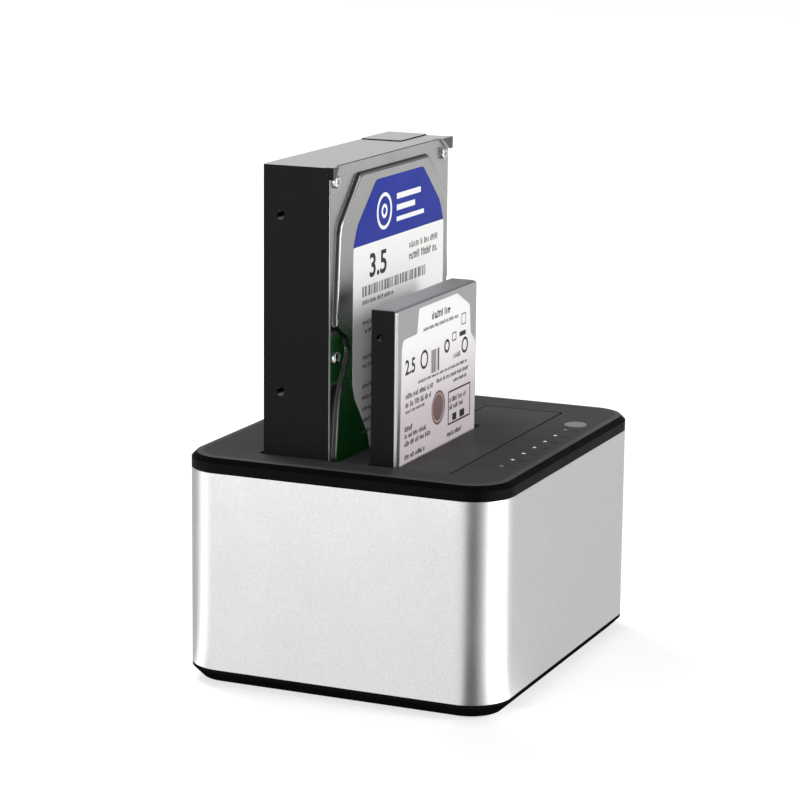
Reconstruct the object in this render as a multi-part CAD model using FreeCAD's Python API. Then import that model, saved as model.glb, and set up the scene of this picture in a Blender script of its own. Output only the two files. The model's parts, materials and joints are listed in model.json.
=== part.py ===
"""Two-bay drive duplicator: a docking box that copies one disk drive onto another.

Row frame: millimetres, +Z up, origin at the middle of the footprint, on the plane the feet
stand on. The front, with the lamps and the button, faces -Y. Both drives stand in their bays
as they do in use, label side to the front.
"""
import FreeCAD, Part
import math
import os

Vec = FreeCAD.Vector

# ---------------------------------------------------------------- driving dimensions
# housing
BODY_WIDTH = 137.3
BODY_DEPTH = 117.3
CORNER_RADIUS = 14.7
FOOT_PROUD = 0.8
BASE_HEIGHT = 4.9
BASE_CHAMFER = 3.7
BASE_FLOOR = 2.2
SLEEVE_HEIGHT = 69.1
SLEEVE_WALL = 1.8
DECK_HEIGHT = 5.3
DECK_CHAMFER = 1.7
DECK_PLATE = 2.2
CROWN_WIDTH = 2.2
CROWN_DROP = 0.15
LIP_WALL = 1.6
LIP_DEPTH = 4.0
LIP_GAP = 0.15
POST_X = 55.5
POST_FROM_WALL = 11.35
POST_RADIUS = 3.2
POST_BORE = 12.0
SCREW_RADIUS = 1.5
SCREW_HEAD_RADIUS = 2.7
SCREW_HEAD_HEIGHT = 1.6
SCREW_LENGTH = 11.0
SCREW_GAP = 0.2
FOOT_RADIUS = 5.0
FOOT_RECESS = 1.0

# drives, standing on their connector end
LARGE_DRIVE = (101.6, 26.1, 147.0)
SMALL_DRIVE = (69.85, 9.5, 100.0)
LARGE_LEFT = -54.6
LARGE_FACE_Y = 6.5
LARGE_SEAT = 32.05
SMALL_LEFT = -53.9
SMALL_FACE_Y = -16.3
SMALL_SEAT = 32.95
SEAT_GAP = 0.2
CONNECTOR_FROM_EDGE = 30.1
CONNECTOR_FROM_BACK = 3.9

# bay openings in the deck
BAY_LEFT = -55.1
BAY_WIDTH = 106.4
BAY_DEPTH = 30.1
REAR_BAY_FRONT = 4.2
FRONT_BAY_FRONT = -36.4
BAY_CORNER = 0.8
NOTCH_WIDTH = 75.0
NOTCH_DEPTH = 10.8

# doors, flaps and their hinges
DOOR_THICKNESS = 1.6
DOOR_RECESS = 0.05
HINGE_GAP = 0.9
DOOR_GAP = 0.3
DOOR_CORNER = 0.5
HINGE_DROP = 4.15
DOOR_HINGE_OUT = 1.8
FLAP_HINGE_OUT = 3.6
PIN_RADIUS = 0.8
PIN_RUNNING = 0.06
PIN_FIXED_GAP = 0.02
KNUCKLE_RADIUS = 1.6
KNUCKLE_LENGTH = 6.0
LUG_LENGTH = 2.4
LUG_INSET = 4.0
LUG_WALL = 1.2
SPRING_WIRE = 0.4
SPRING_TURNS = 3
SPRING_PITCH = 0.7
SPRING_GAP = 0.2
SPRING_LEG = 7.0
REAR_DOOR_REST = 90.0
REAR_FLAP_REST = 85.0
FRONT_FLAP_REST = 90.0

# drive details
LID_DEPTH = 1.9
LID_SHEET = 1.0
LID_INSET = 0.6
LID_GAP = 0.1
LABEL_THICKNESS = 0.1
PLATEAU_RISE = 1.6
PLATEAU_WALL = ((0.0, 0.0), (0.3, 0.9), (0.75, 1.45), (1.3, PLATEAU_RISE))
LID_SCREW_RADIUS = 1.15
LID_SCREW_HEAD_RADIUS = 2.2
LID_SCREW_LENGTH = 3.6
LID_BORE_GAP = 0.05
END_PAD = (22.5, 46.4, 16.5, 32.0, 0.45)
EAR_HEIGHT = 4.2
EAR_PROUD = 0.45
LABEL_OFFSET = 3.5
LARGE_LABEL = ((14.0, 30.0, 3), (24.6, 34.0, 4), (24.6, 50.0, 12), (37.1, 66.0, 8), (39.1, 71.5, 6),
               (39.1, 117.6, 6), (35.7, 125.2, 12), (20.2, 139.2, 4))
MOTOR_HEIGHT = 62.0
BOARD_WELL = 3.4
LARGE_BOARD_HALF = 47.0
LARGE_BOARD_SPAN = (2.0, 88.0)
LARGE_BOARD_STEP = (12.0, 18.0)
LARGE_BOARD_SHEET = 1.2
LARGE_BOARD_CHIPS = ((-24.0, 34.0, 7.0, 7.0), (20.0, 22.0, 5.0, 5.0), (-30.0, 60.0, 4.0, 5.0))
LARGE_BOARD_SCREW = (1.15, 2.1, 0.9, 1.25)
LARGE_BOARD_SCREW_INSET = 4.0
LARGE_BOARD_SCREW_FOOT = 16.0
MOTOR_CLEAR_RADIUS = 17.0
MOTOR_RINGS = ((12.5, 0.9), (13.8, 1.4))
DISH_RADIUS = 46.0
LARGE_BACK_HOLES = (95.25, 41.28, 85.73)
LARGE_SIDE_HOLES = (28.5, 70.1, 130.1)
LARGE_HOLE_FROM_BACK = 6.35
COVER_DEPTH = 1.1
COVER_LABEL = 0.1
SMALL_LABEL = ((-32.4, 44.0, 1.5), (33.8, 44.0, 1.5), (33.8, 78.5, 1.0), (29.2, 82.3, 2), (28.0, 92.4, 1.5),
               (16.5, 98.0, 2.5), (-17.0, 98.0, 1.5), (-18.4, 89.6, 1), (-30.2, 89.4, 2), (-31.2, 86.0, 2))
SMALL_WELL = 1.8
SMALL_BOARD = (33.0, 1.5, 52.0)
SMALL_BOARD_CHIPS = ((-20.0, 34.0, 5.0), (16.0, 26.0, 4.0))
SMALL_DISH_RADIUS = 30.0
SMALL_HUB_RADIUS = 9.0
SMALL_BACK_HOLES = 61.72
SMALL_SIDE_HOLES = (14.0, 90.6)
SMALL_HOLE_FROM_BACK = 3.0
SPINDLE_RADIUS = 5.8
SPINDLE_PLACE = (0.75, 60.7)
SMALL_MOTOR_HEIGHT = 62.0

# boards; screws are shank radius, head radius, head height and length under the head
BOARD_SCREW = (0.95, 2.0, 1.3, 6.0)
CRADLE_SCREW = (0.9, 1.9, 1.3, 6.1)
LAMP_SCREW = (0.85, 1.8, 1.2, 4.5)
BOARD_TOP = 20.0
BOARD_THICKNESS = 1.6
BOARD_HALF_WIDTH = 60.5
BOARD_REAR_GAP = 2.25
BOARD_FRONT_MARGIN = 7.0
POST_NOTCH_GAP = 1.2
STANDOFF_X = 44.0
STANDOFF_FROM_EDGE = 8.1
STANDOFF_RADIUS = 3.0
FRONT_ROW_GAP = 7.9
REAR_ROW_GAP = 9.2
FRONT_CHIPS = ((-26.0, 0.0, 5.0, 5.0), (24.0, -0.5, 2.6, 4.0))
REAR_CHIPS = ((-36.0, 0.0, 3.0, 3.0),)
CHIP_HEIGHT = 1.4
FRONT_CANS = ((-37.0, 1.0, 3.15, 7.7), (36.0, 0.5, 3.15, 7.7))
REAR_CANS = ((34.0, 0.0, 4.0, 10.0),)
COIL_X = 13.5
COIL_HALF = 3.4
COIL_HEIGHT = 4.0
COIL_WELL_RADIUS = 2.3
LAMP_BOARD_SPAN = (-50.0, 50.5)
LAMP_BOARD_LIP_GAP = 2.1
LAMP_BOARD_HINGE_GAP = 2.4
LAMP_BOARD_THICKNESS = 1.2
LAMP_BOARD_DROP = 8.2
LAMP_SCREW_INSET = 3.5

# lamps and button
LAMP_COUNT = 7
LAMP_FIRST_X = -37.4
LAMP_PITCH = 10.25
LAMP_SHIFT = 0.25
LAMP_RADIUS = 1.0
LAMP_DOME = 0.4
BUTTON_X = 34.5
BUTTON_RADIUS = 4.1
BUTTON_PROUD = 0.25
BUTTON_GAP = 0.25
BUTTON_TRAVEL = 0.5
RIBBON_FROM_LAMPS = 0.9
RIBBON_WIDTH = 14.0
RIBBON_THICKNESS = 0.3
RIBBON_SOCKET_WALL = 1.5
RIBBON_SOCKET_HEIGHT = 2.8

# rear panel with its sockets
PANEL_WIDTH = 64.0
PANEL_HEIGHT = 17.0
PANEL_Z = 25.9
PANEL_CORNER = 2.0
PANEL_GAP = 0.2
PANEL_FLANGE = 2.0
USB_X = 0.0
USB_WIDTH = 12.2
USB_HEIGHT = 11.0
USB_DEPTH = 16.0
USB_WALL = 0.5
USB_MOUTH = (8.6, 7.8)
USB_MOUTH_DEPTH = 9.5
USB_TONGUE = (5.6, 3.2)
JACK_X = 20.0
JACK_RADIUS = 4.5
JACK_BORE_RADIUS = 3.15
JACK_PIN_RADIUS = 1.05
SWITCH_X = -20.0
SWITCH_WIDTH = 15.0
SWITCH_HEIGHT = 10.5
ROCKER_TILT = 8.0

# cradle round the two drive connectors
CRADLE_DOOR_GAP = 4.15
CRADLE_WALL = 1.8
CRADLE_FLOOR = 2.0
DRIVE_GUIDE_GAP = 0.4
CRADLE_BOSS = 7.0

# drive connector: the board's socket, the drive's plug, and the tongues between them
SOCKET_LENGTH = 46.0
SOCKET_DEPTH = 7.4
SOCKET_GAP = 0.25
SOCKET_BELOW_SEAT = 0.6
NOSE_LENGTH = 42.4
NOSE_DEPTH = 4.8
NOSE_HEIGHT = 5.0
TONGUE_THICKNESS = 1.3
TONGUE_SLOT_GAP = 0.3
SIGNAL_TONGUE = 10.4
POWER_TONGUE = 20.6
TONGUE_SPACING = 2.4
KEY_HEIGHT = 1.1
PLUG_LENGTH = 45.6
PLUG_DEPTH = 6.8
PLUG_HEIGHT = 8.6
PLUG_MOUTH_GAP = 0.35
PLUG_FLOOR = 1.6

# ---------------------------------------------------------------- derived levels
BASE_BOTTOM = FOOT_PROUD
SLEEVE_BOTTOM = BASE_BOTTOM + BASE_HEIGHT
SLEEVE_TOP = SLEEVE_BOTTOM + SLEEVE_HEIGHT
DECK_TOP = SLEEVE_TOP + DECK_HEIGHT
DECK_UNDER = DECK_TOP - DECK_PLATE
HINGE_Z = DECK_TOP - HINGE_DROP
INNER_Y = BODY_DEPTH / 2 - SLEEVE_WALL
LIP_INSET = SLEEVE_WALL + LIP_GAP + LIP_WALL
POST_Y = INNER_Y - POST_FROM_WALL
BAY_RIGHT = BAY_LEFT + BAY_WIDTH
FRONT_BAY_REAR = FRONT_BAY_FRONT + BAY_DEPTH
REAR_BAY_REAR = REAR_BAY_FRONT + BAY_DEPTH
LAMP_BOARD_TOP = DECK_TOP - LAMP_BOARD_DROP
BOARD_UNDER = BOARD_TOP - BOARD_THICKNESS
FLOOR_TOP = BASE_BOTTOM + BASE_FLOOR
LARGE_BACK_Y = LARGE_FACE_Y + LARGE_DRIVE[1]
SMALL_BACK_Y = SMALL_FACE_Y + SMALL_DRIVE[1]
CRADLE_TOP = HINGE_Z - (BAY_DEPTH - DOOR_GAP) - CRADLE_DOOR_GAP
CRADLE_FRONT = SMALL_BACK_Y - LARGE_DRIVE[1] - DRIVE_GUIDE_GAP - CRADLE_WALL
CRADLE_BACK = LARGE_BACK_Y + DRIVE_GUIDE_GAP + CRADLE_WALL
FRONT_ROW_Y = CRADLE_FRONT - FRONT_ROW_GAP
REAR_ROW_Y = CRADLE_BACK + REAR_ROW_GAP
BOARD_FRONT = FRONT_ROW_Y - BOARD_FRONT_MARGIN
BOARD_REAR = INNER_Y - BOARD_REAR_GAP
STANDOFF_Y = BOARD_REAR - STANDOFF_FROM_EDGE
LUG_REACH = PIN_RADIUS + LUG_WALL
LIP_FACE_Y = LIP_INSET - BODY_DEPTH / 2
FRONT_LUG_Y = FRONT_BAY_FRONT - DOOR_HINGE_OUT - LUG_REACH
LAMP_Y = (LIP_FACE_Y + FRONT_LUG_Y) / 2 + LAMP_SHIFT
RIBBON_Y = LAMP_Y + RIBBON_FROM_LAMPS


# ---------------------------------------------------------------- drawing helpers
def rounded_wire(corners, lift):
    """A closed outline through (u, v, radius) corners; lift turns (u, v) into a space point."""
    count = len(corners)
    starts, mids, ends = [], [], []
    for i, (u, v, radius) in enumerate(corners):
        here = Vec(u, v, 0)
        back = (Vec(*corners[i - 1][:2], 0) - here).normalize()
        ahead = (Vec(*corners[(i + 1) % count][:2], 0) - here).normalize()
        half = back.getAngle(ahead) / 2
        reach = radius / math.tan(half) if radius else 0
        starts.append(here + back * reach)
        ends.append(here + ahead * reach)
        if radius:
            inward = (back + ahead).normalize()
            mids.append(here + inward * (radius / math.sin(half) - radius))
        else:
            mids.append(here)
    edges = []
    for i in range(count):
        a, b = ends[i - 1], starts[i]
        if (a - b).Length > 1e-6:
            edges.append(Part.LineSegment(lift(a.x, a.y), lift(b.x, b.y)).toShape())
        if corners[i][2]:
            arc = [lift(p.x, p.y) for p in (starts[i], mids[i], ends[i])]
            edges.append(Part.Arc(*arc).toShape())
    return Part.Wire(edges)


def flat_plate(corners, z0, z1):
    """A plate lying flat, from height z0 to z1."""
    face = Part.Face(rounded_wire(corners, lambda u, v: Vec(u, v, z0)))
    return face.extrude(Vec(0, 0, z1 - z0))


def upright_plate(corners, y0, y1):
    """A plate standing across the depth: corners are (x, z, radius)."""
    face = Part.Face(rounded_wire(corners, lambda u, v: Vec(u, y0, v)))
    return face.extrude(Vec(0, y1 - y0, 0))


def side_profile(corners, x0, x1):
    """A section in the depth-height plane, corners (y, z, radius), carried along the width."""
    face = Part.Face(rounded_wire(corners, lambda u, v: Vec(x0, u, v)))
    return face.extrude(Vec(x1 - x0, 0, 0))


def rectangle(u0, u1, v0, v1, radius=0.0):
    return [(u0, v0, radius), (u1, v0, radius), (u1, v1, radius), (u0, v1, radius)]


def block(x0, x1, y0, y1, z0, z1, radius=0.0):
    return flat_plate(rectangle(x0, x1, y0, y1, radius), z0, z1)


def body_outline(inset):
    """The housing's rounded footprint, moved inwards all round by inset."""
    x, y = BODY_WIDTH / 2 - inset, BODY_DEPTH / 2 - inset
    return rectangle(-x, x, -y, y, CORNER_RADIUS - inset)


def body_layer(inset, z0, z1):
    return flat_plate(body_outline(inset), z0, z1)


def body_taper(inset0, z0, inset1, z1):
    """A slice of the housing whose outline moves from one inset to another."""
    low = rounded_wire(body_outline(inset0), lambda u, v: Vec(u, v, z0))
    high = rounded_wire(body_outline(inset1), lambda u, v: Vec(u, v, z1))
    return Part.makeLoft([low, high], True, True)


def rod(x, y, z, radius, length, axis=Vec(0, 0, 1)):
    return Part.makeCylinder(radius, length, Vec(x, y, z), axis)


def turned(profile, x, y):
    """A solid of revolution about a vertical line; profile is (radius, height) points."""
    points = [Vec(x + r, y, z) for r, z in profile]
    face = Part.Face(Part.makePolygon(points + points[:1]))
    return face.revolve(Vec(x, y, 0), Vec(0, 0, 1), 360)


def fused(shapes):
    first, rest = shapes[0], shapes[1:]
    return first.multiFuse(rest).removeSplitter() if rest else first


def four_corners(x, y):
    return [(sx * x, sy * y) for sx in (-1, 1) for sy in (-1, 1)]


# ---------------------------------------------------------------- housing shells
def aluminium_sleeve():
    """Extruded tube with the window for the rear panel."""
    tube = body_layer(0, SLEEVE_BOTTOM, SLEEVE_TOP)
    tube = tube.cut(body_layer(SLEEVE_WALL, SLEEVE_BOTTOM, SLEEVE_TOP))
    window = upright_plate(panel_outline(0), INNER_Y - 1, BODY_DEPTH / 2 + 1)
    return tube.cut(window)


def panel_outline(inset):
    half_x, half_z = PANEL_WIDTH / 2 - inset, PANEL_HEIGHT / 2 - inset
    return rectangle(-half_x, half_x, PANEL_Z - half_z, PANEL_Z + half_z,
                     max(PANEL_CORNER - inset, 0.4))


def lip_ring(z0, z1):
    """The wall of deck or base that slips inside the sleeve."""
    return body_layer(LIP_INSET - LIP_WALL, z0, z1).cut(body_layer(LIP_INSET, z0, z1))


def deck_shell():
    """The deck's outer form: upright rim, chamfer and a faint crown up to the flat top."""
    chamfer_top = DECK_TOP - CROWN_DROP
    chamfer_foot = chamfer_top - DECK_CHAMFER
    crown_inset = DECK_CHAMFER + CROWN_WIDTH
    solid = fused([
        body_layer(0, SLEEVE_TOP, chamfer_foot),
        body_taper(0, chamfer_foot, DECK_CHAMFER, chamfer_top),
        body_taper(DECK_CHAMFER, chamfer_top, crown_inset, DECK_TOP),
    ])
    hollow = body_layer(LIP_INSET, SLEEVE_TOP, DECK_UNDER)
    return solid.cut(hollow)


def bay_cut(front):
    return block(BAY_LEFT, BAY_RIGHT, front, front + BAY_DEPTH, HINGE_Z - 5, DECK_TOP + 1, BAY_CORNER)


def hinge_lug(x0, hinge_y):
    """A web under the deck that grips one stretch of a hinge pin."""
    near, far = hinge_y - LUG_REACH, hinge_y + LUG_REACH
    top, foot = DECK_UNDER + 0.5, HINGE_Z - LUG_REACH
    web = side_profile([(near, top, 0), (far, top, 0), (far, foot, 1.6), (near, foot, 1.6)],
                       x0, x0 + LUG_LENGTH)
    bore = rod(x0 - 1, hinge_y, HINGE_Z, PIN_RADIUS + PIN_FIXED_GAP, LUG_LENGTH + 2, Vec(1, 0, 0))
    return web.cut(bore)


def lug_places(x0, x1):
    """Where the three lugs of one hinge start, for a panel from x0 to x1."""
    left, right = x0 + LUG_INSET, x1 - LUG_INSET - LUG_LENGTH
    return [left, (left + right) / 2, right]


def top_deck():
    deck = deck_shell()
    parts = [deck, lip_ring(SLEEVE_TOP - LIP_DEPTH, SLEEVE_TOP + 0.5)]
    for panel in PANELS.values():
        parts += [hinge_lug(x, panel["hinge_y"]) for x in lug_places(*panel["span"])]
    for x, y in four_corners(POST_X, POST_Y):
        parts.append(rod(x, y, post_foot(), POST_RADIUS, DECK_UNDER + 0.5 - post_foot()))
    for x in lamp_board_screws():
        parts.append(rod(x, LAMP_Y, LAMP_BOARD_TOP, 2.4, DECK_UNDER + 0.5 - LAMP_BOARD_TOP))
    deck = fused(parts)
    for front in (FRONT_BAY_FRONT, REAR_BAY_FRONT):
        deck = deck.cut(bay_cut(front))
    holes = [rod(x, y, post_foot() - 1, SCREW_RADIUS, POST_BORE) for x, y in four_corners(POST_X, POST_Y)]
    holes += [rod(x, LAMP_Y, LAMP_BOARD_TOP - 1, 0.9, 5.0) for x in lamp_board_screws()]
    holes += [rod(x, LAMP_Y, SLEEVE_TOP, LAMP_RADIUS + 0.05, 8) for x in lamp_places()]
    holes.append(rod(BUTTON_X, LAMP_Y, SLEEVE_TOP, BUTTON_RADIUS + BUTTON_GAP, 8))
    return deck.cut(Part.makeCompound(holes))


def post_foot():
    """Height at which the deck's screw posts meet the base's bosses."""
    return FLOOR_TOP + SCREW_HEAD_HEIGHT + 3.0


def base_tray():
    """Chamfered tray with bosses for the long screws and standoffs for the main board."""
    upright = BASE_HEIGHT - BASE_CHAMFER
    tray = fused([
        body_taper(BASE_CHAMFER, BASE_BOTTOM, 0, SLEEVE_BOTTOM - upright),
        body_layer(0, SLEEVE_BOTTOM - upright, SLEEVE_BOTTOM),
    ])
    tray = tray.cut(body_layer(LIP_INSET, FLOOR_TOP, SLEEVE_BOTTOM))
    parts = [tray, lip_ring(SLEEVE_BOTTOM - 0.5, SLEEVE_BOTTOM + LIP_DEPTH)]
    for x, y in four_corners(POST_X, POST_Y):
        parts.append(rod(x, y, BASE_BOTTOM + 0.2, FOOT_RADIUS + 0.8, post_foot() - BASE_BOTTOM - 0.2))
    for x, y in four_corners(STANDOFF_X, STANDOFF_Y):
        parts.append(rod(x, y, FLOOR_TOP - 0.5, STANDOFF_RADIUS, BOARD_UNDER - FLOOR_TOP + 0.5))
    tray = fused(parts)
    holes = []
    for x, y in four_corners(POST_X, POST_Y):
        holes.append(turned([(0, BASE_BOTTOM - 1), (FOOT_RADIUS + 0.1, BASE_BOTTOM - 1),
                             (FOOT_RADIUS + 0.1, BASE_BOTTOM + FOOT_RECESS),
                             (SCREW_HEAD_RADIUS + SCREW_GAP, BASE_BOTTOM + FOOT_RECESS),
                             (SCREW_HEAD_RADIUS + SCREW_GAP, screw_seat()),
                             (SCREW_RADIUS + SCREW_GAP, screw_seat()),
                             (SCREW_RADIUS + SCREW_GAP, post_foot() + 1), (0, post_foot() + 1)], x, y))
    holes += [rod(x, y, BOARD_UNDER - 6, 1.0, 7) for x, y in four_corners(STANDOFF_X, STANDOFF_Y)]
    return tray.cut(Part.makeCompound(holes))


def screw_seat():
    """Height at which the long screws' heads bear on the base."""
    return BASE_BOTTOM + FOOT_RECESS + SCREW_HEAD_HEIGHT + 0.3


def rubber_feet():
    """Domed discs stuck into the base's round recesses, over the screws."""
    profile = [(0, 0), (FOOT_RADIUS - 0.6, 0), (FOOT_RADIUS, 0.6),
               (FOOT_RADIUS, BASE_BOTTOM + FOOT_RECESS), (0, BASE_BOTTOM + FOOT_RECESS)]
    return Part.makeCompound([turned(profile, x, y) for x, y in four_corners(POST_X, POST_Y)])


def screw(x, y, seat, radius, head_radius, head_height, length, up=1):
    """A pan-head screw; its head lies below the seat and its shank runs up (or the reverse)."""
    profile = [(0, seat - up * head_height), (head_radius * 0.7, seat - up * head_height),
               (head_radius, seat - up * head_height * 0.5), (head_radius, seat),
               (radius, seat), (radius, seat + up * length), (0, seat + up * length)]
    solid = turned(profile, x, y)
    slot = block(x - head_radius * 0.6, x + head_radius * 0.6, y - 0.3, y + 0.3,
                 min(seat - up * head_height, seat - up * head_height * 0.6),
                 max(seat - up * head_height, seat - up * head_height * 0.6))
    return solid.cut(slot)


def depth_screw(x, y, z, radius, head_radius, head_height, length):
    """A pan-head screw driven along +Y; its head's under side lies at y."""
    laid = screw(0, 0, 0, radius, head_radius, head_height, length)
    laid.rotate(Vec(0, 0, 0), Vec(1, 0, 0), -90)
    laid.translate(Vec(x, y, z))
    return laid


def base_screws():
    return Part.makeCompound([
        screw(x, y, screw_seat(), SCREW_RADIUS - 0.02, SCREW_HEAD_RADIUS, SCREW_HEAD_HEIGHT, SCREW_LENGTH)
        for x, y in four_corners(POST_X, POST_Y)])


# ---------------------------------------------------------------- doors, flaps and hinges
def panel_frame(bay_edge, inward, out):
    """Hinge place for a panel whose hinged edge lies at bay_edge; inward is +1 towards +Y."""
    return {"inward": inward, "out": out, "hinge_y": bay_edge - inward * out}


def door_spec(bay_front, rest):
    spec = panel_frame(bay_front, 1, DOOR_HINGE_OUT)
    spec.update(span=(BAY_LEFT + DOOR_GAP, BAY_RIGHT - DOOR_GAP), length=BAY_DEPTH - DOOR_GAP,
                rest=rest, notched=True)
    return spec


def flap_spec(bay_rear, rest):
    spec = panel_frame(bay_rear, -1, FLAP_HINGE_OUT)
    spec.update(span=(BAY_LEFT + DOOR_GAP, BAY_LEFT + NOTCH_WIDTH - DOOR_GAP),
                length=NOTCH_DEPTH - DOOR_GAP, rest=rest, notched=False)
    return spec


PANELS = {
    "front_door": door_spec(FRONT_BAY_FRONT, 0.0),
    "rear_door": door_spec(REAR_BAY_FRONT, REAR_DOOR_REST),
    "front_flap": flap_spec(FRONT_BAY_REAR, FRONT_FLAP_REST),
    "rear_flap": flap_spec(REAR_BAY_REAR, REAR_FLAP_REST),
}


def panel_outline_flat(spec):
    """The closed panel's outline seen from above, measured from the hinge line inwards."""
    x0, x1 = spec["span"]
    near, far = spec["out"] + HINGE_GAP, spec["out"] + spec["length"]
    if not spec["notched"]:
        return rectangle(x0, x1, near, far, DOOR_CORNER)
    notch_x, notch_v = BAY_LEFT + NOTCH_WIDTH, far - NOTCH_DEPTH + DOOR_GAP
    return [(x0, near, DOOR_CORNER), (x1, near, DOOR_CORNER), (x1, far, DOOR_CORNER),
            (notch_x, far, DOOR_CORNER), (notch_x, notch_v, DOOR_CORNER), (x0, notch_v, DOOR_CORNER)]


def knuckle(spec, x0):
    """A hinge barrel with the swan-neck arm that carries the panel."""
    near = spec["out"] + HINGE_GAP
    under = HINGE_DROP - DOOR_RECESS - DOOR_THICKNESS
    arm = side_profile([(0, KNUCKLE_RADIUS, 0), (near, KNUCKLE_RADIUS, 0.2), (near, under + 0.3, 0),
                        (near + 3.2, under + 0.3, 0), (near + 0.9, -0.4, 1.5), (0, -KNUCKLE_RADIUS, 0)],
                       x0, x0 + KNUCKLE_LENGTH)
    barrel = rod(x0, 0, 0, KNUCKLE_RADIUS, KNUCKLE_LENGTH, Vec(1, 0, 0))
    bore = rod(x0 - 1, 0, 0, PIN_RADIUS + PIN_RUNNING, KNUCKLE_LENGTH + 2, Vec(1, 0, 0))
    return arm.fuse(barrel).cut(bore)


def placed(shape, spec):
    """Takes a shape drawn about the hinge line, inwards along +Y, to its hinge."""
    if spec["inward"] < 0:
        shape = shape.mirror(Vec(0, 0, 0), Vec(0, 1, 0))
    shape.translate(Vec(0, spec["hinge_y"], HINGE_Z))
    return shape


def swung(shape, angle):
    """A shape drawn with its panel closed, swung down about the hinge line."""
    shape = shape.copy()
    shape.rotate(Vec(0, 0, 0), Vec(1, 0, 0), -angle)
    return shape


def hinged_panel(spec):
    """Door or flap: a plate with a stiffening rib and two hinge knuckles."""
    top = HINGE_DROP - DOOR_RECESS
    x0, x1 = spec["span"]
    plate = flat_plate(panel_outline_flat(spec), top - DOOR_THICKNESS, top)
    left, _, right = lug_places(x0, x1)
    starts = (left + LUG_LENGTH + DOOR_GAP, right - KNUCKLE_LENGTH - DOOR_GAP)
    return placed(swung(fused([plate] + [knuckle(spec, x) for x in starts]), spec["rest"]), spec)


def hinge_pin(spec):
    left, _, right = lug_places(*spec["span"])
    length = right + LUG_LENGTH - left
    pin = rod(left, spec["hinge_y"], HINGE_Z, PIN_RADIUS, length, Vec(1, 0, 0))
    return pin.makeChamfer(0.25, [pin.Edges[0], pin.Edges[2]])


def spring_leg(x, length, start, end):
    """A straight end of spring wire, leaving the coil's top and rising to meet what it pushes."""
    half = SPRING_WIRE / 2
    return side_profile([(0, start - half, 0), (length, end - half, 0), (length, end + half, 0),
                         (0, start + half, 0)], x - half, x + half)


def door_spring(spec):
    """Torsion spring on the pin: one leg under the deck, the other under the panel."""
    _, middle, _ = lug_places(*spec["span"])
    radius, half = PIN_RADIUS + SPRING_GAP + SPRING_WIRE / 2, SPRING_WIRE / 2
    start = middle + LUG_LENGTH + SPRING_GAP + half
    run = SPRING_PITCH * (SPRING_TURNS + spec["rest"] / 360)
    helix = Part.Wire(Part.makeHelix(SPRING_PITCH, run, radius))
    corners = rectangle(radius - half, radius + half, -half, half)
    section = Part.makePolygon([Vec(u, 0, v) for u, v, _ in corners + corners[:1]])
    coil = helix.makePipeShell([section], True, True).mirror(Vec(0, 0, 0), Vec(1, 0, -1))
    coil.translate(Vec(start, 0, 0))
    panel_under = HINGE_DROP - DOOR_RECESS - DOOR_THICKNESS
    deck_under = HINGE_DROP - DECK_PLATE
    touch = half + 0.05
    deck_leg = spring_leg(start, -SPRING_LEG / 2, radius, deck_under - touch)
    panel_leg = spring_leg(start + run, SPRING_LEG, radius, panel_under - touch)
    return placed(fused([coil, deck_leg, swung(panel_leg, spec["rest"])]), spec)


# ---------------------------------------------------------------- boards and what is on them
def board_outline():
    """The main board, notched at its corners to pass the deck's posts."""
    notch = POST_RADIUS + POST_NOTCH_GAP
    x, x_in, y_in = BOARD_HALF_WIDTH, POST_X - notch, POST_Y - notch
    right = [(x_in, BOARD_FRONT, 1), (x_in, -y_in, 0.5), (x, -y_in, 1), (x, y_in, 1), (x_in, y_in, 0.5),
             (x_in, BOARD_REAR, 1)]
    return both_sides(right)


def main_board():
    board = flat_plate(board_outline(), BOARD_UNDER, BOARD_TOP)
    holes = [rod(x, y, BOARD_UNDER - 1, 1.2, 4) for x, y in four_corners(STANDOFF_X, STANDOFF_Y)]
    holes += [rod(x, y, BOARD_UNDER - 1, 1.2, 4) for x, y in cradle_bosses()]
    return board.cut(Part.makeCompound(holes))


def board_screws():
    return Part.makeCompound([screw(x, y, BOARD_TOP, *BOARD_SCREW, -1)
                              for x, y in four_corners(STANDOFF_X, STANDOFF_Y)])


def cradle_limits():
    """Outer edges of the cradle: left, right, front and back."""
    grow = DRIVE_GUIDE_GAP + CRADLE_WALL
    return LARGE_LEFT - grow, LARGE_LEFT + LARGE_DRIVE[0] + grow, CRADLE_FRONT, CRADLE_BACK


def cradle_bosses():
    x0, x1, y0, y1 = cradle_limits()
    inset = CRADLE_WALL + 1.0
    return [(x, y) for x in (x0 + inset, x1 - inset) for y in (y0 + inset, y1 - inset)]


def cradle_pocket(y0, y1, floor):
    """Cutter for one drive's guide pocket, with a lead-in chamfer round its mouth."""
    x0, x1 = LARGE_LEFT - DRIVE_GUIDE_GAP, LARGE_LEFT + LARGE_DRIVE[0] + DRIVE_GUIDE_GAP
    lead = CRADLE_WALL / 2
    pocket = block(x0, x1, y0, y1, floor, CRADLE_TOP + 1, 1.0)
    low = rounded_wire(rectangle(x0, x1, y0, y1, 1.0), lambda u, v: Vec(u, v, CRADLE_TOP - lead))
    high = rounded_wire(rectangle(x0 - lead, x1 + lead, y0 - lead, y1 + lead, 1.0 + lead),
                        lambda u, v: Vec(u, v, CRADLE_TOP))
    return pocket.fuse(Part.makeLoft([low, high], True, True))


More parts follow.
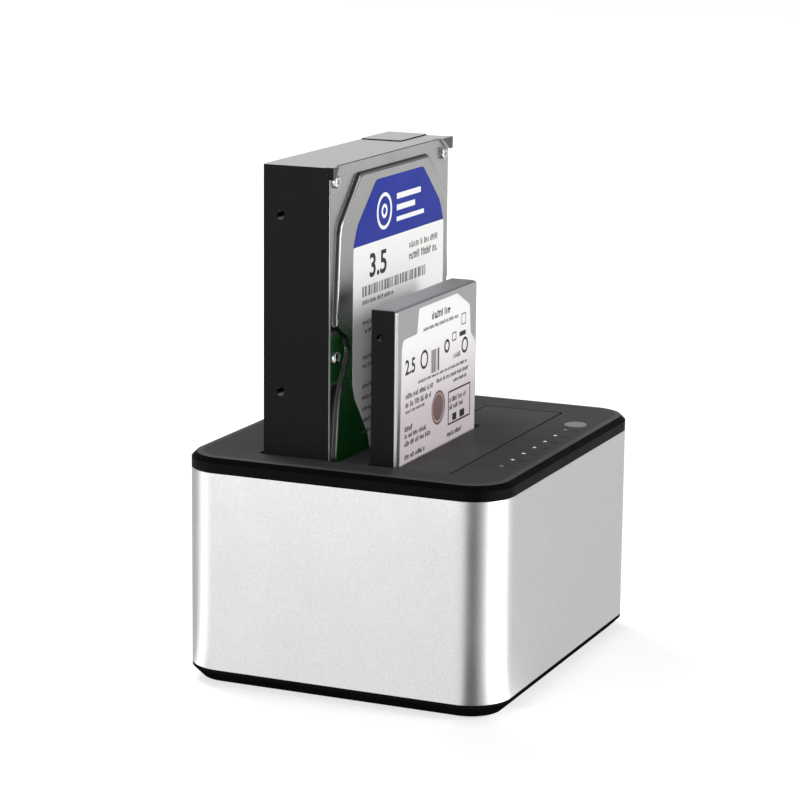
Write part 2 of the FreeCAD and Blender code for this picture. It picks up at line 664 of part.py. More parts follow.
def drive_cradle():
    """Moulded frame on the board: two guide pockets whose floors carry the drives' ends."""
    x0, x1, y0, y1 = cradle_limits()
    frame = block(x0, x1, y0, y1, BOARD_TOP, CRADLE_TOP, 2.0)
    bays = ((y0 + CRADLE_WALL, SMALL_BACK_Y + DRIVE_GUIDE_GAP, SMALL_SEAT - SEAT_GAP, small_socket_place()),
            (LARGE_FACE_Y - DRIVE_GUIDE_GAP, y1 - CRADLE_WALL, LARGE_SEAT - SEAT_GAP, large_socket_place()))
    for front, back, floor, (x, y) in bays:
        frame = frame.cut(cradle_pocket(front, back, floor))
        frame = frame.cut(block(x0 + CRADLE_WALL, x1 - CRADLE_WALL, front, back, BOARD_TOP - 1,
                                floor - CRADLE_FLOOR, 1.0))
        half_x, half_y = SOCKET_LENGTH / 2 + SOCKET_GAP, SOCKET_DEPTH / 2 + SOCKET_GAP
        frame = frame.cut(block(x - half_x, x + half_x, y - half_y, y + half_y, BOARD_TOP, floor + 1))
    frame = frame.cut(block(x0 + CRADLE_WALL, x1 - CRADLE_WALL, bays[0][1] + CRADLE_WALL,
                            bays[1][0] - CRADLE_WALL, BOARD_TOP - 1, CRADLE_TOP - CRADLE_WALL, 1.0))
    bosses = [rod(x, y, BOARD_TOP, 2.6, CRADLE_BOSS) for x, y in cradle_bosses()]
    frame = fused([frame] + bosses)
    return frame.cut(Part.makeCompound([rod(x, y, BOARD_TOP - 1, 0.95, 6) for x, y in cradle_bosses()]))


def cradle_screws():
    return Part.makeCompound([screw(x, y, BOARD_UNDER, *CRADLE_SCREW)
                              for x, y in cradle_bosses()])


# ---------------------------------------------------------------- drive connectors
def large_socket_place():
    return LARGE_LEFT + CONNECTOR_FROM_EDGE, LARGE_BACK_Y - CONNECTOR_FROM_BACK


def small_socket_place():
    return SMALL_LEFT + CONNECTOR_FROM_EDGE, SMALL_BACK_Y - CONNECTOR_FROM_BACK


def tongues(x, y, z0, z1, grow=0.0):
    """The signal and the power tongue, each with its L-shaped key; grow makes their slots."""
    half = TONGUE_THICKNESS / 2 + grow
    total = SIGNAL_TONGUE + TONGUE_SPACING + POWER_TONGUE
    left, shapes = x - total / 2, []
    for start, length in ((left, SIGNAL_TONGUE), (left + SIGNAL_TONGUE + TONGUE_SPACING, POWER_TONGUE)):
        a, b = start - grow, start + length + grow
        key = start + TONGUE_THICKNESS + grow
        shapes.append(flat_plate([(a, y - half - KEY_HEIGHT, 0), (key, y - half - KEY_HEIGHT, 0),
                                  (key, y - half, 0), (b, y - half, 0), (b, y + half, 0), (a, y + half, 0)],
                                 z0, z1))
    return shapes


def drive_socket(place, seat):
    """Board receptacle: a pillar with a slotted nose that enters the drive's plug."""
    x, y = place
    shoulder = seat - SOCKET_BELOW_SEAT
    pillar = block(x - SOCKET_LENGTH / 2, x + SOCKET_LENGTH / 2, y - SOCKET_DEPTH / 2,
                   y + SOCKET_DEPTH / 2, BOARD_TOP, shoulder, 0.6)
    nose = block(x - NOSE_LENGTH / 2, x + NOSE_LENGTH / 2, y - NOSE_DEPTH / 2, y + NOSE_DEPTH / 2,
                 shoulder - 1, seat + NOSE_HEIGHT, 0.5)
    slots = tongues(x, y, seat - 0.5, seat + NOSE_HEIGHT + 1, TONGUE_SLOT_GAP)
    return fused([pillar, nose]).cut(Part.makeCompound(slots))


def drive_plug(place, seat):
    """The drive's own connector: a shroud round the two tongues."""
    x, y = place
    shroud = block(x - PLUG_LENGTH / 2, x + PLUG_LENGTH / 2, y - PLUG_DEPTH / 2, y + PLUG_DEPTH / 2,
                   seat, seat + PLUG_HEIGHT, 0.4)
    mouth = block(x - NOSE_LENGTH / 2 - PLUG_MOUTH_GAP, x + NOSE_LENGTH / 2 + PLUG_MOUTH_GAP,
                  y - NOSE_DEPTH / 2 - PLUG_MOUTH_GAP, y + NOSE_DEPTH / 2 + PLUG_MOUTH_GAP,
                  seat - 1, seat + PLUG_HEIGHT - PLUG_FLOOR, 0.4)
    return fused([shroud.cut(mouth)] + tongues(x, y, seat + 0.6, seat + PLUG_HEIGHT - PLUG_FLOOR + 0.5))


def plug_pocket(place, seat):
    """The hole in a drive's end that holds its plug."""
    x, y = place
    gap = 0.1
    return block(x - PLUG_LENGTH / 2 - gap, x + PLUG_LENGTH / 2 + gap, y - PLUG_DEPTH / 2 - gap,
                 y + PLUG_DEPTH / 2 + gap, seat - 1, seat + PLUG_HEIGHT + gap)


# ---------------------------------------------------------------- board components
def in_rows(front, rear):
    """Parts on the main board, their depths counted from the rows before and behind the cradle."""
    return ([(x, FRONT_ROW_Y + dy, *size) for x, dy, *size in front]
            + [(x, REAR_ROW_Y + dy, *size) for x, dy, *size in rear])


def control_chips():
    """The bridge chip, its memory and the power controller, as packages with bevelled tops."""
    shapes = []
    for x, y, half_x, half_y in in_rows(FRONT_CHIPS, REAR_CHIPS):
        outline = rectangle(x - half_x, x + half_x, y - half_y, y + half_y, 0.3)
        package = flat_plate(outline, BOARD_TOP, BOARD_TOP + CHIP_HEIGHT)
        top = [e for e in package.Edges if e.BoundBox.ZMin > BOARD_TOP + CHIP_HEIGHT / 2]
        shapes.append(package.makeChamfer(0.25, top))
    return Part.makeCompound(shapes)


def capacitors():
    """Electrolytic cans with their rolled groove and square foot."""
    shapes = []
    z, edge, groove = BOARD_TOP, 0.3, 2.3
    for x, y, radius, height in in_rows(FRONT_CANS, REAR_CANS):
        profile = [(0, z + 0.8), (radius, z + 0.8), (radius, z + groove - edge), (radius - 0.4, z + groove),
                   (radius, z + groove + edge), (radius, z + height - edge), (radius - edge, z + height),
                   (0, z + height)]
        foot = block(x - radius, x + radius, y - radius, y + radius, z, z + 0.9, 0.8)
        shapes.append(fused([turned(profile, x, y), foot]))
    return Part.makeCompound(shapes)


def inductors():
    """Shielded power coils of the two drive supplies."""
    shapes = []
    for x in (-COIL_X, COIL_X):
        shell = block(x - COIL_HALF, x + COIL_HALF, FRONT_ROW_Y - COIL_HALF, FRONT_ROW_Y + COIL_HALF,
                      BOARD_TOP, BOARD_TOP + COIL_HEIGHT, 1.2)
        shapes.append(shell.cut(rod(x, FRONT_ROW_Y, BOARD_TOP + COIL_HEIGHT - 0.4, COIL_WELL_RADIUS, 1)))
    return Part.makeCompound(shapes)


# ---------------------------------------------------------------- rear panel and its sockets
def panel_face():
    """Depth of the rear panel's visible face, set back inside the sleeve's window."""
    return INNER_Y + 0.5


def rear_panel():
    """Plastic plate that fills the window from inside, held by its flange."""
    plug = upright_plate(panel_outline(PANEL_GAP), INNER_Y - 1.0, panel_face())
    flange = upright_plate(panel_outline(-PANEL_FLANGE), INNER_Y - 1.7, INNER_Y - 0.1)
    panel = fused([plug, flange])
    deep = 6.0
    start = INNER_Y - deep / 2
    cuts = [upright_plate(usb_outline(0.2), start, start + deep),
            rod(JACK_X, start, PANEL_Z, JACK_RADIUS + 0.15, deep, Vec(0, 1, 0)),
            upright_plate(switch_outline(-0.15), start, start + deep)]
    return panel.cut(Part.makeCompound(cuts))


def usb_outline(grow):
    x, z = USB_WIDTH / 2 + grow, USB_HEIGHT / 2 + grow
    bevel = 1.6
    c = usb_height()
    return [(USB_X - x, c - z, 0.3), (USB_X + x, c - z, 0.3), (USB_X + x, c + z - bevel, 0.3),
            (USB_X + x - bevel, c + z, 0.3), (USB_X - x + bevel, c + z, 0.3), (USB_X - x, c + z - bevel, 0.3)]


def usb_height():
    return BOARD_TOP + USB_HEIGHT / 2


def usb_socket():
    """Folded metal shell of the square upstream port, open to the rear."""
    front = panel_face() + 0.3
    shell = upright_plate(usb_outline(0), front - USB_DEPTH, front)
    return shell.cut(upright_plate(usb_outline(-USB_WALL), front - USB_DEPTH + USB_WALL, front + 1))


def usb_insert():
    """Insulator inside the shell, with the contact tongue in the middle of its mouth."""
    front = panel_face() + 0.3
    back = front - USB_DEPTH + USB_WALL
    c = usb_height()
    body = upright_plate(usb_outline(-USB_WALL - 0.05), back + 0.05, front - 0.6)
    x, z, bevel = USB_MOUTH[0] / 2, USB_MOUTH[1] / 2, 1.5
    mouth = upright_plate([(USB_X + u, c + v, 0.3) for u, v in (
        (-x, -z), (x, -z), (x, z - bevel), (x - bevel, z), (bevel - x, z), (-x, z - bevel))],
        front - USB_MOUTH_DEPTH, front)
    half_x, half_z = USB_TONGUE[0] / 2, USB_TONGUE[1] / 2
    tongue = upright_plate(rectangle(USB_X - half_x, USB_X + half_x, c - half_z, c + half_z, 0.3),
                           front - USB_MOUTH_DEPTH - 0.5, front - 1.4)
    return fused([body.cut(mouth), tongue])


def dc_jack():
    """Power inlet: a moulded block on the board with a round nose through the panel."""
    front = panel_face() + 0.4
    body = block(JACK_X - 4.5, JACK_X + 4.5, front - 13.4, INNER_Y - 1.9, BOARD_TOP,
                 PANEL_Z + JACK_RADIUS, 0.4)
    nose = rod(JACK_X, front - 8, PANEL_Z, JACK_RADIUS, 8, Vec(0, 1, 0))
    bore = rod(JACK_X, front - 10, PANEL_Z, JACK_BORE_RADIUS, 11, Vec(0, 1, 0))
    return fused([body, nose]).cut(bore)


def dc_jack_pin():
    front = panel_face() + 0.4
    pin = rod(JACK_X, front - 10, PANEL_Z, JACK_PIN_RADIUS, 8.6, Vec(0, 1, 0))
    return pin.makeFillet(0.4, [e for e in pin.Edges if e.BoundBox.YMin > front - 2])


def switch_outline(inset):
    """The switch body's outline in the panel; inset is measured from the snap-in body."""
    x, z = SWITCH_WIDTH / 2 - 0.9 - inset, SWITCH_HEIGHT / 2 - 0.9 - inset
    return rectangle(SWITCH_X - x, SWITCH_X + x, PANEL_Z - z, PANEL_Z + z, 0.3)


def rocker_pivot():
    """Depth of the rocker's pivot line, so that its raised end stays within the sleeve."""
    return BODY_DEPTH / 2 - 2.8


def power_switch():
    """Switch body with its bezel; the rocker sits in the well."""
    body = upright_plate(switch_outline(0), panel_face() - 12, panel_face())
    bezel = upright_plate(switch_outline(-0.9), panel_face(), panel_face() + 0.6)
    well = block(SWITCH_X - 5.75, SWITCH_X + 5.75, rocker_pivot() - 5.2, BODY_DEPTH / 2,
                 PANEL_Z - 3.3, PANEL_Z + 3.3)
    holes = rod(SWITCH_X, rocker_pivot(), PANEL_Z - 4.2, 0.8 + PIN_RUNNING, 8.4)
    return fused([body, bezel]).cut(Part.makeCompound([well.fuse(holes)]))


def power_rocker():
    """Shallow V rocker with its two pivot stubs, pressed down at one end."""
    y = rocker_pivot()
    reach, dip = 5.1, 1.3
    rise = dip + reach * math.tan(math.radians(ROCKER_TILT))
    outline = [(SWITCH_X - reach, y + rise, 0.4), (SWITCH_X, y + dip, 0), (SWITCH_X + reach, y + rise, 0.4),
               (SWITCH_X + 4.0, y - 2.5, 0.8), (SWITCH_X - 4.0, y - 2.5, 0.8)]
    rocker = flat_plate(outline, PANEL_Z - 3.1, PANEL_Z + 3.1)
    rocker = fused([rocker, rod(SWITCH_X, y, PANEL_Z - 4.0, 0.8, 8.0)])
    rocker.rotate(Vec(SWITCH_X, y, 0), Vec(0, 0, 1), ROCKER_TILT)
    return rocker


# ---------------------------------------------------------------- lamps and button
def lamp_places():
    return [LAMP_FIRST_X + i * LAMP_PITCH for i in range(LAMP_COUNT)]


def lamp_board_screws():
    x0, x1 = LAMP_BOARD_SPAN
    return x0 + LAMP_SCREW_INSET, x1 - LAMP_SCREW_INSET


def lamp_board():
    board = block(*LAMP_BOARD_SPAN, LIP_FACE_Y + LAMP_BOARD_LIP_GAP, FRONT_LUG_Y - LAMP_BOARD_HINGE_GAP,
                  LAMP_BOARD_TOP - LAMP_BOARD_THICKNESS, LAMP_BOARD_TOP, 1.0)
    holes = [rod(x, LAMP_Y, LAMP_BOARD_TOP - 3, 1.1, 4) for x in lamp_board_screws()]
    return board.cut(Part.makeCompound(holes))


def lamp_screws():
    seat = LAMP_BOARD_TOP - LAMP_BOARD_THICKNESS
    return Part.makeCompound([screw(x, LAMP_Y, seat, *LAMP_SCREW) for x in lamp_board_screws()])


def lamps():
    """Seven surface lamps, one under each light pipe."""
    z = LAMP_BOARD_TOP
    shapes = []
    for x in lamp_places():
        package = block(x - 1.0, x + 1.0, LAMP_Y - 0.7, LAMP_Y + 0.7, z, z + 0.7)
        shapes.append(package.makeChamfer(0.15, [e for e in package.Edges if e.BoundBox.ZMin > z + 0.6]))
    return Part.makeCompound(shapes)


def light_pipes():
    """One clear moulding: seven round pipes joined by a bar under the deck."""
    x0, x1 = lamp_places()[0] - 2.0, lamp_places()[-1] + 2.0
    bar = block(x0, x1, LAMP_Y - 1.4, LAMP_Y + 1.4, DECK_UNDER - 1.2, DECK_UNDER - 0.1, 1.0)
    low, high = LAMP_BOARD_TOP + 0.9, DECK_TOP - 0.05
    pipes = []
    for x in lamp_places():
        profile = [(0, low), (LAMP_RADIUS, low), (LAMP_RADIUS, high),
                   (LAMP_RADIUS * 0.8, high + LAMP_DOME * 0.55),
                   (LAMP_RADIUS * 0.45, high + LAMP_DOME * 0.9), (0, high + LAMP_DOME)]
        pipes.append(turned(profile, x, LAMP_Y))
    return fused([bar] + pipes)


def plunger_top():
    """Height at which the button's stem rests on the switch's plunger."""
    return LAMP_BOARD_TOP + 4.2


def clone_button():
    """Round cap in the deck, kept by a flange below it, on a short stem."""
    top, flange_top = DECK_TOP + BUTTON_PROUD, DECK_UNDER - 0.1
    edge = 0.35
    stem, rim, foot = 1.8, BUTTON_RADIUS + 1.0, flange_top - 1.0
    profile = [(0, plunger_top()), (stem, plunger_top()), (stem, foot), (rim, foot), (rim, flange_top),
               (BUTTON_RADIUS, flange_top), (BUTTON_RADIUS, top - edge),
               (BUTTON_RADIUS - edge * 0.3, top - edge * 0.3), (BUTTON_RADIUS - edge, top), (0, top)]
    return turned(profile, BUTTON_X, LAMP_Y)


def tact_switch():
    """Square key switch under the button, with a well for its plunger."""
    z = LAMP_BOARD_TOP
    body = block(BUTTON_X - 3.0, BUTTON_X + 3.0, LAMP_Y - 3.0, LAMP_Y + 3.0, z, z + 3.4, 0.3)
    return body.cut(rod(BUTTON_X, LAMP_Y, z + 1.8, 1.85, 3))


def tact_plunger():
    low = LAMP_BOARD_TOP + 1.8 + BUTTON_TRAVEL + 0.1
    return rod(BUTTON_X, LAMP_Y, low, 1.7, plunger_top() - low)


def ribbon_sockets():
    """The two slotted sockets that hold the lamp board's flat cable."""
    end, side = RIBBON_WIDTH / 2 + RIBBON_SOCKET_WALL, RIBBON_SOCKET_WALL + 0.1
    under = LAMP_BOARD_TOP - LAMP_BOARD_THICKNESS
    stack = [block(-end, end, RIBBON_Y - side, RIBBON_Y + side, z, z + RIBBON_SOCKET_HEIGHT, 0.3)
             for z in (BOARD_TOP, under - RIBBON_SOCKET_HEIGHT)]
    half_x, half_y = RIBBON_WIDTH / 2 + 0.2, RIBBON_THICKNESS / 2 + 0.15
    slot = block(-half_x, half_x, RIBBON_Y - half_y, RIBBON_Y + half_y, BOARD_TOP + 1.2, under - 1.2)
    return Part.makeCompound([socket.cut(slot) for socket in stack])


def lamp_ribbon():
    """Flat cable between the two boards, with a slight bow."""
    half = RIBBON_THICKNESS / 2
    seat = RIBBON_SOCKET_HEIGHT / 2
    low, high = BOARD_TOP + seat, LAMP_BOARD_TOP - LAMP_BOARD_THICKNESS - seat
    middle, bow, bend = (low + high) / 2, 1.6, 300.0
    near, far = RIBBON_Y + half, RIBBON_Y - half
    return side_profile([(near, low, 0), (near - bow, middle, bend), (near, high, 0),
                         (far, high, 0), (far - bow, middle, bend), (far, low, 0)],
                        -RIBBON_WIDTH / 2, RIBBON_WIDTH / 2)


# ---------------------------------------------------------------- the 3.5 inch drive
def large_x(offset):
    """Place across the large drive, measured from its centre line."""
    return LARGE_LEFT + LARGE_DRIVE[0] / 2 + offset


def both_sides(points):
    """A left-right symmetric outline from its right half, listed from bottom to top."""
    return points + [(-u, v, r) for u, v, r in reversed(points)]


def large_outline(points):
    """Corners given from the large drive's centre line and seat, as places in the row."""
    return [(large_x(u), LARGE_SEAT + v, r) for u, v, r in points]


def ear(side, outer, inner):
    """A corner of the casting that comes forward to the drive's face, beside the lid."""
    top, foot = LARGE_DRIVE[2], LARGE_DRIVE[2] - EAR_HEIGHT
    half = LARGE_DRIVE[0] / 2
    corners = [(side * (half + outer), top, 0), (side * (half - inner), top, 0),
               (side * (half - inner / 4), foot, 0), (side * (half + outer), foot, 0)]
    return upright_plate(large_outline(corners), LARGE_FACE_Y + 0.3, LARGE_FACE_Y + LID_DEPTH + 1)


def side_holes(left, seat, drive, heights, from_back, radius, depth):
    """Blind mounting holes in both long sides of a drive."""
    y = (LARGE_BACK_Y if drive is LARGE_DRIVE else SMALL_BACK_Y) - from_back
    holes = []
    for height in heights:
        holes.append(rod(left - 1, y, seat + height, radius, depth + 1, Vec(1, 0, 0)))
        holes.append(rod(left + drive[0] + 1, y, seat + height, radius, depth + 1, Vec(-1, 0, 0)))
    return holes


def back_bore(x, y_back, z, radius, depth):
    return rod(x, y_back - depth, z, radius, depth + 1, Vec(0, 1, 0))


def large_board_outline(inset):
    """Circuit board on the drive's back, cut round the motor and stepped at one shoulder."""
    half, arc = LARGE_BOARD_HALF - inset, MOTOR_CLEAR_RADIUS + inset
    low, high = LARGE_BOARD_SPAN[0] + inset, LARGE_BOARD_SPAN[1] - inset
    step_u, step_v = half - LARGE_BOARD_STEP[0], high - LARGE_BOARD_STEP[1]
    lap, neck = MOTOR_HEIGHT + 6, MOTOR_HEIGHT - 15
    return [(half, low, 1), (half, step_v, 1), (step_u, step_v, 2), (step_u, high, 2), (arc + 4, high, 2),
            (arc, lap, 4), (arc * 0.55, neck, 8), (-arc * 0.55, neck, 8), (-arc, lap, 4),
            (-arc - 4, high, 2), (-half, high, 2), (-half, low, 1)]


def large_drive_casting():
    """Cast base: ears, mounting holes, plug pocket, and on its back the board well and motor ring."""
    w, _, h = LARGE_DRIVE
    back, front = LARGE_BACK_Y, LARGE_FACE_Y + LID_DEPTH
    body = upright_plate(large_outline(rectangle(-w / 2, w / 2, 0, h, 0.6)), front, back)
    x0, x1, y0, y1, rise = END_PAD
    pad = block(x0, x1, y0, y1, LARGE_SEAT + h - 1, LARGE_SEAT + h + rise, 0.8)
    body = fused([body, ear(-1, EAR_PROUD, 4.2), ear(1, EAR_PROUD, 9.0), pad])
    rebate_floor = lid_flat() + LID_SHEET + LID_GAP / 2
    body = body.cut(upright_plate(large_outline(lid_outline(-LID_GAP)), front - 1, rebate_floor))
    well = upright_plate(large_outline(large_board_outline(-0.6)), back - BOARD_WELL, back + 1)
    motor_z = LARGE_SEAT + MOTOR_HEIGHT
    dish = back_bore(large_x(0), back, motor_z, DISH_RADIUS, 1.2)
    above_board = rectangle(-w / 2 + 3, w / 2 - 3, LARGE_BOARD_SPAN[1] + 4, h - 3)
    upper = upright_plate(large_outline(above_board), back - 2, back + 1)
    trench_outline = rectangle(-w / 2 + 6, w / 2 - 6, h - 14, h - 4, 2.0)
    trench = upright_plate(large_outline(trench_outline), back - 1.6, back + 1)
    body = body.cut(well).cut(dish.common(upper)).cut(trench)
    sunk = BOARD_WELL + 0.1
    hub = [rod(large_x(0), back - sunk, motor_z, radius, sunk - drop, Vec(0, 1, 0))
           for radius, drop in MOTOR_RINGS]
    body = fused([body] + hub)
    cuts = side_holes(LARGE_LEFT, LARGE_SEAT, LARGE_DRIVE, LARGE_SIDE_HOLES, LARGE_HOLE_FROM_BACK, 1.5, 5.0)
    spacing, low, high = LARGE_BACK_HOLES
    for u, v in ((-spacing / 2, low), (-spacing / 2, high), (spacing / 2, low), (spacing / 2, high)):
        cuts.append(back_bore(large_x(u), back, LARGE_SEAT + v, 1.5, 5.0))
    cuts.append(back_bore(large_x(0), back, motor_z, 2.2, 2.6))
    for u, v in lid_screw_places():
        cuts.append(rod(large_x(u), front - 1, LARGE_SEAT + v, LID_SCREW_RADIUS + LID_BORE_GAP,
                        LID_SCREW_LENGTH + 1, Vec(0, 1, 0)))
    cuts.append(plug_pocket(large_socket_place(), LARGE_SEAT))
    return body.cut(Part.makeCompound(cuts))


def lid_flat():
    """Depth of the lid's low border, which the screw heads bear on."""
    return LARGE_FACE_Y + LABEL_THICKNESS + PLATEAU_RISE


def lid_outline(inset):
    """The lid's edge, cut back at its top corners round the casting's ears."""
    half, h = LARGE_DRIVE[0] / 2 - LID_INSET - inset, LARGE_DRIVE[2]
    foot, top = h - EAR_HEIGHT - LID_GAP * 2 - inset, h - LID_GAP * 2 - inset
    low = LID_GAP * 3 + inset
    return [(-half, low, 1.5), (half, low, 1.5), (half, foot, 0.5), (half - 2.3, foot, 0.5),
            (half - 9.1, top, 0.5), (-half + 4.3, top, 0.5), (-half + 0.9, foot, 0.4), (-half, foot, 0.4)]


def lid_screw_places():
    """Centres of the six lid screws, from the centre line and the seat."""
    return [(-47.2, LARGE_DRIVE[2] - 5.1), (44.4, LARGE_DRIVE[2] - 5.5), (-47.0, 82.5), (47.0, 82.5),
            (-47.0, 9.0), (47.0, 9.0)]


def plateau_outline(inset):
    """The lid's raised field, waisted round the middle screws, further in on the side clear of the label."""
    top, low, half = LARGE_DRIVE[2] - 4.0 - inset, 4.0 + inset, 49.0 - inset
    foot = [(half - 9, low, 4), (half, low + 13, 6)]
    head = [(half - 0.6, 97.5, 2), (45.8 - inset, 126.5, 8), (29.6 - inset / 2, top, 2.5)]
    label_side = foot + [(half, 62, 12), (43.9 - inset, 76, 5), (43.9 - inset, 89, 5)] + head
    clear_side = foot + [(half, 48, 20), (46.2 - inset, 69, 20), (38.2 - inset, 83.5, 3.4),
                         (41.0 - inset, 88.8, 4), (half - 0.6, 93.2, 2.2)] + head
    return label_side + [(-u, v, r) for u, v, r in reversed(clear_side)]


def large_drive_lid():
    """Stamped lid: low border with six screw seats, and a raised field with a rounded wall."""
    flat = lid_flat()
    sheet = upright_plate(large_outline(lid_outline(0)), flat, flat + LID_SHEET)
    wires = [rounded_wire(large_outline(plateau_outline(inset)), lambda u, v: Vec(u, flat - rise, v))
             for inset, rise in PLATEAU_WALL]
    raised = [Part.makeLoft([low, high], True, True) for low, high in zip(wires, wires[1:])]
    lid = fused([sheet] + raised)
    seats = [rod(large_x(u), flat - 1, LARGE_SEAT + v, LID_SCREW_RADIUS + LID_BORE_GAP, LID_SHEET + 2,
                 Vec(0, 1, 0)) for u, v in lid_screw_places()]
    return lid.cut(Part.makeCompound(seats))


def edges_at(shape, y):
    """The edges of a shape that lie in one plane across the depth."""
    return [e for e in shape.Edges if abs(e.BoundBox.YMin - y) < 1e-4 and abs(e.BoundBox.YMax - y) < 1e-4]


def large_lid_screws():
    """Pan-head screws driven in from the label side."""
    return Part.makeCompound([
        depth_screw(large_x(u), lid_flat(), LARGE_SEAT + v, LID_SCREW_RADIUS, LID_SCREW_HEAD_RADIUS,
                    PLATEAU_RISE - 0.1, LID_SCREW_LENGTH)
        for u, v in lid_screw_places()])


def large_drive_label():
    """Sheet label: arched top, shoulders, and a waisted foot."""
    corners = [(LABEL_OFFSET + u, v, r) for u, v, r in both_sides(list(LARGE_LABEL))]
    return upright_plate(large_outline(corners), LARGE_FACE_Y, LARGE_FACE_Y + LABEL_THICKNESS)


def large_drive_board():
    floor = LARGE_BACK_Y - BOARD_WELL + 0.1
    face = floor + LARGE_BOARD_SHEET
    board = upright_plate(large_outline(large_board_outline(0)), floor, face)
    holes = [back_bore(large_x(u), face, LARGE_SEAT + v, 1.3, 1.3) for u, v in large_board_screw_places()]
    board = board.cut(Part.makeCompound(holes))
    chips = [upright_plate(large_outline(rectangle(u - a, u + a, v - b, v + b, 0.5)), face - 0.1,
                           LARGE_BACK_Y - 0.3) for u, v, a, b in LARGE_BOARD_CHIPS]
    return fused([board] + chips).cut(plug_pocket(large_socket_place(), LARGE_SEAT))


def large_board_screw_places():
    """Near the board's corners, one of them inside its step."""
    side = LARGE_BOARD_HALF - LARGE_BOARD_SCREW_INSET
    low, high = LARGE_BOARD_SCREW_FOOT, LARGE_BOARD_SPAN[1] - LARGE_BOARD_SCREW_INSET
    return [(-side, low), (side, low), (-side, high), (side - LARGE_BOARD_STEP[0] - 1, high)]


def large_board_screws():
    """Screws that hold the drive's board, heads to the back."""
    shapes = []
    seat = LARGE_BACK_Y - BOARD_WELL + 0.1 + LARGE_BOARD_SHEET
    for u, v in large_board_screw_places():
        laid = depth_screw(0, 0, 0, *LARGE_BOARD_SCREW)
        laid.rotate(Vec(0, 0, 0), Vec(0, 0, 1), 180)
        laid.translate(Vec(large_x(u), seat, LARGE_SEAT + v))
        shapes.append(laid)
    return Part.makeCompound(shapes)


# ---------------------------------------------------------------- the 2.5 inch drive
def small_x(offset):
    return SMALL_LEFT + SMALL_DRIVE[0] / 2 + offset


def small_outline(points):
    return [(small_x(u), SMALL_SEAT + v, r) for u, v, r in points]


def small_board_outline(inset):
    half, low, high = SMALL_BOARD[0] - inset, SMALL_BOARD[1] + inset, SMALL_BOARD[2] - inset
    return both_sides([(half, low, 1), (half, high, 2), (14 + inset, high, 3), (10 + inset, high - 12, 4)])


def small_drive_casting():
    """Cast base with a board well, motor ring, side and back mounting holes and plug pocket."""
    w, _, h = SMALL_DRIVE
    back, front = SMALL_BACK_Y, SMALL_FACE_Y + COVER_DEPTH
    body = upright_plate(small_outline(rectangle(-w / 2, w / 2, 0, h, 0.8)), front, back)
    well = upright_plate(small_outline(small_board_outline(-0.5)), back - SMALL_WELL, back + 1)
    dish = back_bore(small_x(0), back, SMALL_SEAT + SMALL_MOTOR_HEIGHT, SMALL_DISH_RADIUS, 0.8)
    upper = upright_plate(small_outline(rectangle(-w / 2 + 3, w / 2 - 3, 54.5, h - 3)), back - 2, back + 1)
    body = body.cut(well).cut(dish.common(upper))
    hub = rod(small_x(0), back - 1.5, SMALL_SEAT + SMALL_MOTOR_HEIGHT, SMALL_HUB_RADIUS, 1.1, Vec(0, 1, 0))
    body = fused([body, hub])
    cuts = side_holes(SMALL_LEFT, SMALL_SEAT, SMALL_DRIVE, SMALL_SIDE_HOLES, SMALL_HOLE_FROM_BACK, 1.25, 3.0)
    for u in (-SMALL_BACK_HOLES / 2, SMALL_BACK_HOLES / 2):
        for v in SMALL_SIDE_HOLES:
            cuts.append(back_bore(small_x(u), back, SMALL_SEAT + v, 1.25, 2.5))
    cuts.append(plug_pocket(small_socket_place(), SMALL_SEAT))
    return body.cut(Part.makeCompound(cuts))


def small_drive_cover():
    """Pressed cover with a rounded edge and a shallow round pressing over the spindle."""
    w, _, h = SMALL_DRIVE
    half, front = w / 2 - 0.2, SMALL_FACE_Y + COVER_LABEL
    edge = small_outline(rectangle(-half, half, 0.2, h - 0.2, 1.2))
    sheet = upright_plate(edge, front, SMALL_FACE_Y + COVER_DEPTH)
    sheet = sheet.makeFillet(0.35, edges_at(sheet, front))
    x, z = spindle_place()
    return sheet.cut(rod(x, front - 1, z, SPINDLE_RADIUS + 0.05, 1.25, Vec(0, 1, 0)))


def spindle_place():
    return small_x(SPINDLE_PLACE[0]), SMALL_SEAT + SPINDLE_PLACE[1]


def small_drive_label():
    """Sheet label with stepped shoulders and a round window over the spindle."""
    plate = upright_plate(small_outline(SMALL_LABEL), SMALL_FACE_Y, SMALL_FACE_Y + COVER_LABEL)
    x, z = spindle_place()
    return plate.cut(rod(x, SMALL_FACE_Y - 1, z, SPINDLE_RADIUS + 0.2, 3, Vec(0, 1, 0)))


def small_drive_spindle_cap():
    """Seal disc over the spindle screw, with a raised rim."""
    x, z = spindle_place()
    y = SMALL_FACE_Y + COVER_LABEL
    disc = rod(x, y - 0.03, z, SPINDLE_RADIUS, 0.27, Vec(0, 1, 0))
    return disc.cut(rod(x, y - 0.1, z, SPINDLE_RADIUS - 1.0, 0.15, Vec(0, 1, 0)))


def small_drive_board():
    back = SMALL_BACK_Y - SMALL_WELL
    board = upright_plate(small_outline(small_board_outline(0)), back + 0.05, back + 0.85)
    chips = [upright_plate(small_outline(rectangle(u - a, u + a, v - a, v + a, 0.4)), back + 0.8,
                           SMALL_BACK_Y - 0.1) for u, v, a in SMALL_BOARD_CHIPS]
    return fused([board] + chips).cut(plug_pocket(small_socket_place(), SMALL_SEAT))


